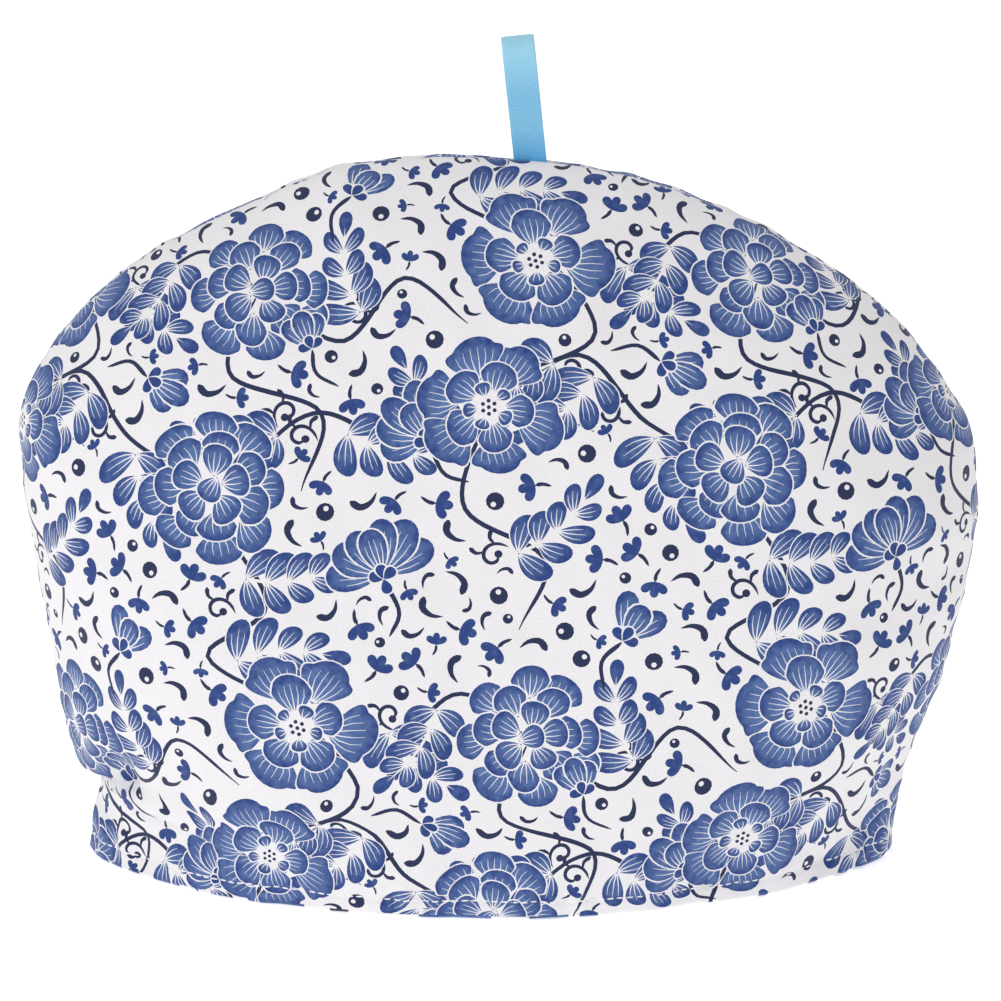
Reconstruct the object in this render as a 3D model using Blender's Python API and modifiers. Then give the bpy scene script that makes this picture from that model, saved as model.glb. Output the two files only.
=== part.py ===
"""Tea cosy: a front and a back panel of padded printed cotton and a ribbon loop.

The two panels are sewn to each other along one domed seam, in the plane y = 0,
and stand on their hems, which open into an oval. The front faces -Y, +Z is up,
and the origin is on the surface, under the middle of the cosy.
"""

import math
from typing import NamedTuple

import bmesh
import bpy
import numpy as np
from mathutils import Vector

MM = 0.001

# Cloth
HALF_DEPTH = 61.0 * MM          # from the seam to the middle of a hem
WALL = 3.0 * MM                 # cotton with its padding
SEAM_GAP = 0.3 * MM             # between the two panels, face to face
EDGE_POWER = 0.60               # how round the cloth turns into the seam
HEM_FULLNESS = 1.9              # how boxy the cloth is along the hem
CENTRE_FULLNESS = 2.4           # the same, straight up from the middle of the hem
SHOULDER_FULLNESS = 1.1         # what the slanting directions have on top of these
FOLD_FADE = 0.35                # share of the half depth under which the folds fade to the seam
SKIRT = 2.0 * MM                # cloth past the seam plane and the floor, which is trimmed off

# Mesh of a panel
COLUMNS = 42
ROWS = 30
EDGE_CLUSTER = 0.55             # 0 spaces the columns evenly, 1 draws them to the seam
OUTLINE_STEPS = 900
CURVE_STEPS = 12                # between two rows of a table that a smooth line passes

# Ribbon loop
RIBBON_WIDTH = 9.5 * MM
RIBBON_THICKNESS = 1.0 * MM
RIBBON_X = 8.9 * MM             # middle of the ribbon where it leaves the seam
RIBBON_LEAN = math.radians(6.0)     # to the left, going up
RIBBON_HEIGHT = 36.0 * MM       # above the seam
RIBBON_TUCK = 4.5 * MM          # below the seam, between the panels
RIBBON_HALF_GAP = 4.2 * MM      # inside the loop at its widest
RIBBON_BASE_GAP = 0.2 * MM      # half the space between the two ends
RIBBON_CLOSED = 0.18            # share of its height over which the two sides lie together
RIBBON_STEPS = 40
RIBBON_COLUMNS = 2
SLOT_CLEARANCE = 0.3 * MM       # from the ribbon to the panels
SLOT_DEPTH = 12.0 * MM          # below the highest point of the seam


class SeamPoint(NamedTuple):
    """A point of the domed seam, in millimetres."""

    x: float
    height: float


# From the left end of the hem over the top to its right end.
SEAM = (
    SeamPoint(-126.0, 0.0),
    SeamPoint(-125.0, 12.0),
    SeamPoint(-122.5, 22.5),
    SeamPoint(-129.0, 28.5),
    SeamPoint(-132.5, 44.0),
    SeamPoint(-137.0, 77.0),
    SeamPoint(-141.0, 106.0),
    SeamPoint(-143.0, 130.0),
    SeamPoint(-139.0, 147.0),
    SeamPoint(-127.0, 165.0),
    SeamPoint(-107.0, 183.0),
    SeamPoint(-83.0, 196.5),
    SeamPoint(-48.0, 211.0),
    SeamPoint(-20.0, 214.5),
    SeamPoint(10.0, 213.5),
    SeamPoint(35.0, 209.5),
    SeamPoint(60.0, 201.5),
    SeamPoint(88.0, 187.5),
    SeamPoint(113.0, 169.5),
    SeamPoint(129.0, 151.5),
    SeamPoint(140.0, 133.0),
    SeamPoint(143.0, 112.0),
    SeamPoint(141.0, 88.0),
    SeamPoint(137.0, 68.0),
    SeamPoint(133.0, 53.0),
    SeamPoint(124.5, 29.0),
    SeamPoint(121.5, 13.0),
    SeamPoint(121.0, 0.0),
)
LEFT_SHOULDER = 10              # rows of SEAM where the sides end and the top begins
RIGHT_SHOULDER = 17


class Fold(NamedTuple):
    """A soft trough, or with a negative depth a ridge, along a straight run.

    All in millimetres: both ends of the run seen from the front, how far to
    each side it fades out, and its depth.
    """

    start_x: float
    start_z: float
    end_x: float
    end_z: float
    spread: float
    depth: float


FRONT_FOLDS = (
    Fold(-126.0, 22.0, -112.0, 33.0, 6.0, 7.0),
    Fold(-112.0, 33.0, -92.0, 31.0, 6.0, 2.6),
    Fold(-118.0, 40.0, -104.0, 62.0, 11.0, -2.2),
    Fold(-108.0, 6.0, -92.0, 24.0, 9.0, 1.6),
    Fold(95.0, 4.0, 118.0, 14.0, 7.0, 2.4),
    Fold(108.0, 2.0, 124.0, 44.0, 8.0, 1.8),
    Fold(58.0, 0.0, 66.0, 22.0, 10.0, 1.5),
    Fold(-14.0, 0.0, -10.0, 18.0, 9.0, 1.2),
    Fold(-62.0, 0.0, -56.0, 16.0, 10.0, 1.1),
    Fold(-66.0, 200.0, -48.0, 172.0, 9.0, 1.4),
    Fold(44.0, 205.0, 36.0, 178.0, 9.0, 1.3),
    Fold(-136.0, 120.0, -112.0, 112.0, 11.0, 1.8),
    Fold(140.0, 96.0, 116.0, 88.0, 11.0, 1.8),
    Fold(-20.0, 60.0, 40.0, 96.0, 24.0, -1.4),
)
BACK_FOLDS = (
    Fold(122.0, 20.0, 100.0, 34.0, 7.0, 4.5),
    Fold(-124.0, 24.0, -98.0, 30.0, 7.0, 4.0),
    Fold(-70.0, 0.0, -60.0, 24.0, 10.0, 1.8),
    Fold(22.0, 0.0, 18.0, 20.0, 9.0, 1.5),
    Fold(72.0, 0.0, 80.0, 26.0, 10.0, 1.6),
    Fold(-58.0, 204.0, -44.0, 176.0, 9.0, 1.4),
    Fold(30.0, 209.0, 26.0, 182.0, 9.0, 1.3),
    Fold(-138.0, 96.0, -112.0, 92.0, 11.0, 1.8),
    Fold(138.0, 124.0, 112.0, 112.0, 11.0, 1.8),
    Fold(-40.0, 104.0, 26.0, 80.0, 24.0, -1.4),
)


def smooth_path(points: np.ndarray, steps: int) -> np.ndarray:
    """Even steps along a smooth curve through the points."""
    ends = np.vstack((2 * points[0] - points[1], points, 2 * points[-1] - points[-2]))
    t = np.linspace(0.0, 1.0, CURVE_STEPS, endpoint=False)[:, None]
    runs = []
    for before, start, end, after in zip(ends, ends[1:], ends[2:], ends[3:]):
        leave, arrive = (end - before) / 2, (after - start) / 2
        runs.append(start + leave * t + (3 * (end - start) - 2 * leave - arrive) * t ** 2
                    + (2 * (start - end) + leave + arrive) * t ** 3)
    curve = np.vstack(runs + [points[-1:]])
    length = np.concatenate(([0.0], np.cumsum(np.linalg.norm(np.diff(curve, axis=0), axis=1))))
    even = np.linspace(0.0, length[-1], steps + 1)
    return np.column_stack([np.interp(even, length, curve[:, axis]) for axis in range(2)])


SEAM_POINTS = np.array(SEAM) * MM
OUTLINE = smooth_path(SEAM_POINTS, OUTLINE_STEPS)
HEM_MIDDLE = (SEAM_POINTS[0] + SEAM_POINTS[-1]) / 2


def outline_angles() -> tuple[np.ndarray, np.ndarray]:
    """Angle and reach of the outline, seen from the middle of the hem, from right to left."""
    offset = OUTLINE[::-1] - HEM_MIDDLE
    return np.arctan2(offset[:, 1], offset[:, 0]), np.hypot(offset[:, 0], offset[:, 1])


ANGLES, REACHES = outline_angles()


def fold_depth(x: np.ndarray, z: np.ndarray, folds: tuple[Fold, ...]) -> np.ndarray:
    """How deep the folds press the cloth in at each place, in metres."""
    total = np.zeros_like(x)
    for fold in folds:
        start = np.array((fold.start_x, fold.start_z)) * MM
        run = np.array((fold.end_x, fold.end_z)) * MM - start
        along = ((x - start[0]) * run[0] + (z - start[1]) * run[1]) / (run @ run)
        along = np.clip(along, 0.0, 1.0)
        away = np.hypot(x - start[0] - along * run[0], z - start[1] - along * run[1])
        total += fold.depth * MM * np.exp(-(away / (fold.spread * MM)) ** 2)
    return total


def bulge(x: np.ndarray, z: np.ndarray, folds: tuple[Fold, ...]) -> np.ndarray:
    """How far the cloth stands out from the seam plane at each place."""
    across, up = x - HEM_MIDDLE[0], np.maximum(z, 0.0)
    angle = np.arctan2(up, across)
    share = np.hypot(across, up) / np.interp(angle, ANGLES, REACHES)
    fullness = (HEM_FULLNESS * np.cos(angle) ** 2 + CENTRE_FULLNESS * np.sin(angle) ** 2
                + SHOULDER_FULLNESS * np.sin(2 * angle) ** 2)
    round_form = np.maximum(1.0 - share ** fullness, 0.0) ** EDGE_POWER
    fade = np.minimum(round_form / FOLD_FADE, 1.0)
    return HALF_DEPTH * round_form - fade * fold_depth(x, z, folds)


def side_run(first: int, last: int, shares: np.ndarray) -> np.ndarray:
    """Points of the outline at shares of the way between two rows of SEAM."""
    rows = [np.argmin(np.linalg.norm(OUTLINE - SEAM_POINTS[row], axis=1)) for row in (first, last)]
    place = rows[0] + shares * (rows[1] - rows[0])
    steps = np.arange(len(OUTLINE))
    return np.column_stack([np.interp(place, steps, OUTLINE[:, axis]) for axis in range(2)])


def panel_grid() -> np.ndarray:
    """Places of a panel's rows and columns as seen from the front, (rows, columns, x and z)."""
    even = np.linspace(0.0, 1.0, COLUMNS + 1)
    across = even + EDGE_CLUSTER * ((1 - np.cos(math.pi * even)) / 2 - even)
    up = np.linspace(0.0, 1.0, ROWS + 1)
    up = up + EDGE_CLUSTER * (np.sin(math.pi * up / 2) - up)
    left = side_run(0, LEFT_SHOULDER, up)[:, None, :]
    right = side_run(len(SEAM) - 1, RIGHT_SHOULDER, up)[:, None, :]
    top = side_run(LEFT_SHOULDER, RIGHT_SHOULDER, across)[None, :, :]
    hem = SEAM_POINTS[0] + across[None, :, None] * (SEAM_POINTS[-1] - SEAM_POINTS[0])
    u, v = across[None, :, None], up[:, None, None]
    corners = ((1 - u) * (1 - v) * left[0, 0] + u * (1 - v) * right[0, 0]
               + (1 - u) * v * left[-1, 0] + u * v * right[-1, 0])
    return (1 - u) * left + u * right + (1 - v) * hem + v * top - corners


def material(name: str, colour: tuple[float, float, float], roughness: float) -> bpy.types.Material:
    """A plain cloth finish."""
    finish = bpy.data.materials.new(name)
    finish.use_nodes = True
    shader = finish.node_tree.nodes["Principled BSDF"]
    shader.inputs["Base Color"].default_value = (*colour, 1.0)
    shader.inputs["Roughness"].default_value = roughness
    shader.inputs["Metallic"].default_value = 0.0
    finish.diffuse_color = (*colour, 1.0)
    return finish


def collection(name: str) -> bpy.types.Collection:
    """A new collection in the scene."""
    group = bpy.data.collections.new(name)
    bpy.context.scene.collection.children.link(group)
    return group


def grid_object(name: str, columns: int, rows: int, group: bpy.types.Collection) -> bpy.types.Object:
    """A flat grid, its corners at 0 and at the numbers of columns and rows."""
    mesh = bpy.data.meshes.new(name)
    bm = bmesh.new()
    bmesh.ops.create_grid(bm, x_segments=columns, y_segments=rows, size=0.5)
    for vertex in bm.verts:
        vertex.co.x = round((vertex.co.x + 0.5) * columns)
        vertex.co.y = round((vertex.co.y + 0.5) * rows)
    bm.to_mesh(mesh)
    bm.free()
    thing = bpy.data.objects.new(name, mesh)
    group.objects.link(thing)
    return thing


def block(name: str, low: tuple[float, float, float], high: tuple[float, float, float],
          group: bpy.types.Collection) -> bpy.types.Object:
    """A box between two corners, used as a cutter."""
    mesh = bpy.data.meshes.new(name)
    bm = bmesh.new()
    bmesh.ops.create_cube(bm, size=1.0)
    for vertex in bm.verts:
        share = vertex.co + Vector((0.5, 0.5, 0.5))
        vertex.co = [low[axis] + share[axis] * (high[axis] - low[axis]) for axis in range(3)]
    bm.to_mesh(mesh)
    bm.free()
    thing = bpy.data.objects.new(name, mesh)
    thing.hide_render = True
    thing.display_type = "WIRE"
    group.objects.link(thing)
    return thing


def cut(thing: bpy.types.Object, cutter: bpy.types.Object, operation: str) -> None:
    """Cut a piece with a block."""
    modifier = thing.modifiers.new(cutter.name, "BOOLEAN")
    modifier.operation = operation
    modifier.object = cutter


def thicken(thing: bpy.types.Object, thickness: float, offset: float) -> None:
    """Give a sheet its wall."""
    modifier = thing.modifiers.new("wall", "SOLIDIFY")
    modifier.thickness = thickness
    modifier.offset = offset


def panel(name: str, side: int, folds: tuple[Fold, ...], finish: bpy.types.Material,
          group: bpy.types.Collection, cutters: bpy.types.Collection) -> bpy.types.Object:
    """One panel, from the hem up to the seam.

    The grid has one row and column more past each edge, which carry the sheet
    through the seam plane and the floor, where the trim block cuts it flush.
    side is -1 for the front and 1 for the back.
    """
    places = panel_grid()
    depth = bulge(places[..., 0], places[..., 1], folds)
    thing = grid_object(name, COLUMNS + 2, ROWS + 2, group)
    for vertex in thing.data.vertices:
        column, row = round(vertex.co.x) - 1, round(vertex.co.y) - 1
        inner_column, inner_row = min(max(column, 0), COLUMNS), min(max(row, 0), ROWS)
        x, z = places[inner_row, inner_column]
        out = depth[inner_row, inner_column]
        if column in (-1, COLUMNS + 1) or row == ROWS + 1:
            out = -SKIRT
        if row == -1:
            z = -SKIRT
        vertex.co = (x, side * out, z)
    if side > 0:
        thing.data.flip_normals()
    thing.data.materials.append(finish)
    thing.data.shade_smooth()
    thicken(thing, WALL, -1.0)
    near, far = side * SEAM_GAP / 2, side * 2 * HALF_DEPTH
    reach = SEAM_POINTS[:, 0].max() + WALL
    height = SEAM_POINTS[:, 1].max() + WALL
    trim = block(name + "_trim", (-reach, min(near, far), 0.0), (reach, max(near, far), height), cutters)
    cut(thing, trim, "INTERSECT")
    return thing


def ribbon_path() -> np.ndarray:
    """The ribbon's middle line from the front end over the top to the back end, (steps, y and up)."""
    top = RIBBON_HEIGHT - RIBBON_HALF_GAP - RIBBON_THICKNESS
    middle = RIBBON_HALF_GAP + RIBBON_THICKNESS / 2
    base = RIBBON_BASE_GAP + RIBBON_THICKNESS / 2
    shares = np.linspace(0.0, 1.0, RIBBON_STEPS + 1)
    swell = np.clip((shares - RIBBON_CLOSED) / (1.0 - RIBBON_CLOSED), 0.0, 1.0)
    spread = base + (middle - base) * swell ** 2 * (3 - 2 * swell)
    rise = -RIBBON_TUCK + shares * (top + RIBBON_TUCK)
    turn = np.linspace(0.0, math.pi, RIBBON_STEPS // 2 + 1)[1:-1]
    front = np.column_stack((-spread, rise))
    arc = np.column_stack((-middle * np.cos(turn), top + middle * np.sin(turn)))
    return np.vstack((front, arc, front[::-1] * (-1.0, 1.0)))


def ribbon_loop(finish: bpy.types.Material, group: bpy.types.Collection) -> bpy.types.Object:
    """The loop of ribbon, its two ends caught in the seam."""
    path = ribbon_path()
    top = OUTLINE[OUTLINE[:, 1] > SEAM_POINTS[LEFT_SHOULDER, 1]]
    seam_height = np.interp(RIBBON_X, top[:, 0], top[:, 1])
    thing = grid_object("ribbon_loop", RIBBON_COLUMNS, len(path) - 1, group)
    for vertex in thing.data.vertices:
        y, up = path[round(vertex.co.y)]
        across = (vertex.co.x / RIBBON_COLUMNS - 0.5) * RIBBON_WIDTH
        vertex.co = (RIBBON_X + across * math.cos(RIBBON_LEAN) - up * math.sin(RIBBON_LEAN), y,
                     seam_height + up * math.cos(RIBBON_LEAN) + across * math.sin(RIBBON_LEAN))
    thing.data.materials.append(finish)
    thing.data.shade_smooth()
    thicken(thing, RIBBON_THICKNESS, 0.0)
    return thing


def slot_for_ribbon(panels: list[bpy.types.Object], cutters: bpy.types.Collection) -> None:
    """Let the ribbon's ends pass between the panels."""
    half_width = RIBBON_WIDTH / 2 + RIBBON_TUCK * math.sin(RIBBON_LEAN) + SLOT_CLEARANCE
    half_depth = RIBBON_BASE_GAP + RIBBON_THICKNESS + SLOT_CLEARANCE
    top = SEAM_POINTS[:, 1].max()
    slot = block("ribbon_slot", (RIBBON_X - half_width, -half_depth, top - SLOT_DEPTH),
                 (RIBBON_X + half_width, half_depth, top + WALL), cutters)
    for thing in panels:
        cut(thing, slot, "DIFFERENCE")


def main() -> None:
    """Model the tea cosy."""
    for thing in list(bpy.data.objects):
        bpy.data.objects.remove(thing)
    group, cutters = collection("tea_cosy"), collection("cutters")
    front_cotton = material("printed_cotton_front", (0.52, 0.60, 0.80), 0.85)
    back_cotton = material("printed_cotton_back", (0.52, 0.60, 0.80), 0.85)
    grosgrain = material("blue_grosgrain", (0.24, 0.55, 0.77), 0.55)
    front = panel("front_panel", -1, FRONT_FOLDS, front_cotton, group, cutters)
    back = panel("back_panel", 1, BACK_FOLDS, back_cotton, group, cutters)
    slot_for_ribbon([front, back], cutters)
    ribbon_loop(grosgrain, group)


if __name__ == "__main__":
    main()
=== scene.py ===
"""Tea cosy of padded white cotton with a blue flower scroll print and a grosgrain hanging loop.

Each panel is cut flat with its print, as a printer and a sewer would have it,
and the flat cut is then laid on the cosy's stuffed shape. A printed shape is
cut into the cloth's own mesh, so that its edge stays sharp from close by.
"""

import itertools
import logging
import math
from collections import defaultdict
from dataclasses import dataclass, field
from enum import Enum
from typing import Callable, Iterable, NamedTuple

import bmesh
import bpy
import numpy as np
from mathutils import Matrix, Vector
from mathutils.bvhtree import BVHTree
from mathutils.geometry import delaunay_2d_cdt
from mathutils.kdtree import KDTree


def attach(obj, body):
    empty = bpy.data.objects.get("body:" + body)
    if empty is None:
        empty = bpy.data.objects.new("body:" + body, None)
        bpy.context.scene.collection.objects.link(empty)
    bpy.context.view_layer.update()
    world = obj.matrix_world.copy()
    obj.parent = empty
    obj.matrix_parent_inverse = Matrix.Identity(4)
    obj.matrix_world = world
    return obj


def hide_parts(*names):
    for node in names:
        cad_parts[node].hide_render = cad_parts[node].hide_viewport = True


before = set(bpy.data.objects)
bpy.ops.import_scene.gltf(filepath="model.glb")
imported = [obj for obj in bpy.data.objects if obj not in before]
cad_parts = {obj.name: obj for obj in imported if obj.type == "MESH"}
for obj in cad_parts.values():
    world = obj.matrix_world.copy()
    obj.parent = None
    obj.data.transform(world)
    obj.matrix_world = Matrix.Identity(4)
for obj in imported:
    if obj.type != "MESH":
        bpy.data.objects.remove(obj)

LOG = logging.getLogger("tea_cosy")
MM = 0.001
BODY = "root"
CURVE_STEPS = 12

# How petals, their veins and strokes are drawn: widths in millimetres, the rest as shares.
SCALLOP_LEVEL = 0.65
HALO_UNDER_BASE = 0.3
VEIN_START = 0.04
VEIN_POINTS = 4
VEIN_SHORTENING = 0.3
VEIN_SPREAD = 0.80
VEIN_WIDTHS = (0.5, 0.10)
VEIN_BOLDNESS = 0.8
STROKE_END = 0.25
STROKE_SWELL = 6

# Distances under which two flat points are one, in millimetres.
SAME_POINT = 1e-3
LINING_POINT = 1e-6


class Side(Enum):
    """Which of the two panels, by the sign of its Y."""

    FRONT = -1
    BACK = 1


class Ink(Enum):
    """What a printed shape is, from bare cotton to the darkest blue."""

    COTTON = 0
    COBALT = 1
    NAVY = 2


class Motif(Enum):
    """What the print is made of."""

    PEONY = "peony"
    ROSE = "rose"
    LOTUS = "lotus"
    BUD = "bud"
    LEAF = "leaf"
    COMMA = "comma"
    TREFOIL = "trefoil"
    BERRY = "berry"


class SeamPoint(NamedTuple):
    """A point of the domed seam, in millimetres."""

    x: float
    height: float


class Fold(NamedTuple):
    """A soft trough, or with a negative depth a ridge, along a straight run, in millimetres."""

    start_x: float
    start_z: float
    end_x: float
    end_z: float
    spread: float
    depth: float


SEAM = (
    SeamPoint(-126.0, 0.0),
    SeamPoint(-125.0, 12.0),
    SeamPoint(-122.5, 22.5),
    SeamPoint(-129.0, 28.5),
    SeamPoint(-132.5, 44.0),
    SeamPoint(-137.0, 77.0),
    SeamPoint(-141.0, 106.0),
    SeamPoint(-143.0, 130.0),
    SeamPoint(-139.0, 147.0),
    SeamPoint(-127.0, 165.0),
    SeamPoint(-107.0, 183.0),
    SeamPoint(-83.0, 196.5),
    SeamPoint(-48.0, 211.0),
    SeamPoint(-20.0, 214.5),
    SeamPoint(10.0, 213.5),
    SeamPoint(35.0, 209.5),
    SeamPoint(60.0, 201.5),
    SeamPoint(88.0, 187.5),
    SeamPoint(113.0, 169.5),
    SeamPoint(129.0, 151.5),
    SeamPoint(140.0, 133.0),
    SeamPoint(143.0, 112.0),
    SeamPoint(141.0, 88.0),
    SeamPoint(137.0, 68.0),
    SeamPoint(133.0, 53.0),
    SeamPoint(124.5, 29.0),
    SeamPoint(121.5, 13.0),
    SeamPoint(121.0, 0.0),
)

FRONT_FOLDS = (
    Fold(-126.0, 22.0, -112.0, 33.0, 6.0, 7.0),
    Fold(-112.0, 33.0, -92.0, 31.0, 6.0, 2.6),
    Fold(-118.0, 40.0, -104.0, 62.0, 11.0, -2.2),
    Fold(-108.0, 6.0, -92.0, 24.0, 9.0, 1.6),
    Fold(95.0, 4.0, 118.0, 14.0, 7.0, 2.4),
    Fold(108.0, 2.0, 124.0, 44.0, 8.0, 1.8),
    Fold(58.0, 0.0, 66.0, 22.0, 10.0, 1.5),
    Fold(-14.0, 0.0, -10.0, 18.0, 9.0, 1.2),
    Fold(-62.0, 0.0, -56.0, 16.0, 10.0, 1.1),
    Fold(-66.0, 200.0, -48.0, 172.0, 9.0, 1.4),
    Fold(44.0, 205.0, 36.0, 178.0, 9.0, 1.3),
    Fold(-136.0, 120.0, -112.0, 112.0, 11.0, 1.8),
    Fold(140.0, 96.0, 116.0, 88.0, 11.0, 1.8),
    Fold(-20.0, 60.0, 40.0, 96.0, 24.0, -1.4),
)
BACK_FOLDS = (
    Fold(122.0, 20.0, 100.0, 34.0, 7.0, 4.5),
    Fold(-124.0, 24.0, -98.0, 30.0, 7.0, 4.0),
    Fold(-70.0, 0.0, -60.0, 24.0, 10.0, 1.8),
    Fold(22.0, 0.0, 18.0, 20.0, 9.0, 1.5),
    Fold(72.0, 0.0, 80.0, 26.0, 10.0, 1.6),
    Fold(-58.0, 204.0, -44.0, 176.0, 9.0, 1.4),
    Fold(30.0, 209.0, 26.0, 182.0, 9.0, 1.3),
    Fold(-138.0, 96.0, -112.0, 92.0, 11.0, 1.8),
    Fold(138.0, 124.0, 112.0, 112.0, 11.0, 1.8),
    Fold(-40.0, 104.0, 26.0, 80.0, 24.0, -1.4),
)
# The finer creases that only the cloth itself has.
FRONT_CREASES = (
    Fold(-124.0, 23.5, -110.0, 30.0, 1.8, 1.6),
    Fold(-110.0, 30.0, -95.0, 30.5, 2.2, 0.9),
    Fold(-122.0, 16.0, -108.0, 12.0, 2.6, 0.8),
    Fold(84.0, 9.0, 92.0, 13.0, 2.2, 0.7),
    Fold(98.0, 6.5, 112.0, 10.5, 2.4, 1.0),
    Fold(108.0, 14.0, 118.0, 30.0, 3.0, 0.7),
    Fold(-38.0, 8.0, -30.0, 20.0, 3.0, 0.5),
    Fold(12.0, 7.0, 20.0, 17.0, 3.0, 0.4),
)
BACK_CREASES = (
    Fold(120.0, 20.0, 102.0, 30.0, 2.2, 1.2),
    Fold(-122.0, 24.0, -104.0, 28.0, 2.2, 1.1),
    Fold(-66.0, 6.0, -58.0, 18.0, 3.0, 0.6),
    Fold(40.0, 7.0, 46.0, 18.0, 3.0, 0.5),
)


def smooth_path(points: np.ndarray, steps: int) -> np.ndarray:
    """Even steps along a smooth curve through the points.

    Args:
        points: (n, dimensions) places that the curve passes.
        steps: number of even steps.

    Returns:
        (steps + 1, dimensions) places.
    """
    ends = np.vstack((2 * points[0] - points[1], points, 2 * points[-1] - points[-2]))
    t = np.linspace(0.0, 1.0, CURVE_STEPS, endpoint=False)[:, None]
    runs = []
    for before, start, end, after in zip(ends, ends[1:], ends[2:], ends[3:]):
        leave, arrive = (end - before) / 2, (after - start) / 2
        runs.append(start + leave * t + (3 * (end - start) - 2 * leave - arrive) * t ** 2
                    + (2 * (start - end) + leave + arrive) * t ** 3)
    curve = np.vstack(runs + [points[-1:]])
    length = np.concatenate(([0.0], np.cumsum(np.linalg.norm(np.diff(curve, axis=0), axis=1))))
    even = np.linspace(0.0, length[-1], steps + 1)
    return np.column_stack([np.interp(even, length, column) for column in curve.T])


@dataclass(frozen=True)
class CosyForm:
    """The stuffed shape of the cosy: its seam line and how far the cloth stands out from it."""

    half_depth: float = 61.0 * MM
    wall: float = 3.0 * MM
    seam_gap: float = 0.3 * MM
    edge_power: float = 0.60
    hem_fullness: float = 1.9
    centre_fullness: float = 2.4
    shoulder_fullness: float = 1.1
    fold_fade: float = 0.35
    left_shoulder: int = 10
    right_shoulder: int = 17
    outline_steps: int = 900
    seam: np.ndarray = field(default_factory=lambda: np.array(SEAM) * MM)

    def outline(self) -> np.ndarray:
        """The seam line as (n, 2) even places, from the left end of the hem to the right."""
        return smooth_path(self.seam, self.outline_steps)

    def folded(self, x: np.ndarray, z: np.ndarray, folds: tuple[Fold, ...]) -> np.ndarray:
        """How deep the folds press the cloth in, in metres.

        Args:
            x: places across, in metres.
            z: places up.
            folds: the troughs and ridges.

        Returns:
            Depth at each place.
        """
        total = np.zeros_like(x)
        for fold in folds:
            start = np.array((fold.start_x, fold.start_z)) * MM
            run = np.array((fold.end_x, fold.end_z)) * MM - start
            along = np.clip(((x - start[0]) * run[0] + (z - start[1]) * run[1]) / (run @ run), 0.0, 1.0)
            away = np.hypot(x - start[0] - along * run[0], z - start[1] - along * run[1])
            total += fold.depth * MM * np.exp(-(away / (fold.spread * MM)) ** 2)
        return total

    def bulge(self, x: np.ndarray, z: np.ndarray, folds: tuple[Fold, ...]) -> np.ndarray:
        """How far the cloth stands out from the seam's plane.

        Args:
            x: places across, in metres.
            z: places up.
            folds: the panel's main folds.

        Returns:
            Distance from the plane at each place.
        """
        line = self.outline()[::-1] - (self.seam[0] + self.seam[-1]) / 2
        across = x - (self.seam[0, 0] + self.seam[-1, 0]) / 2
        up = np.maximum(z, 0.0)
        angle = np.arctan2(up, across)
        reach = np.interp(angle, np.arctan2(line[:, 1], line[:, 0]), np.hypot(line[:, 0], line[:, 1]))
        fullness = (self.hem_fullness * np.cos(angle) ** 2 + self.centre_fullness * np.sin(angle) ** 2
                    + self.shoulder_fullness * np.sin(2 * angle) ** 2)
        share = np.hypot(across, up) / reach
        round_form = np.maximum(1.0 - share ** fullness, 0.0) ** self.edge_power
        fade = np.minimum(round_form / self.fold_fade, 1.0)
        return self.half_depth * round_form - fade * self.folded(x, z, folds)


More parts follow.
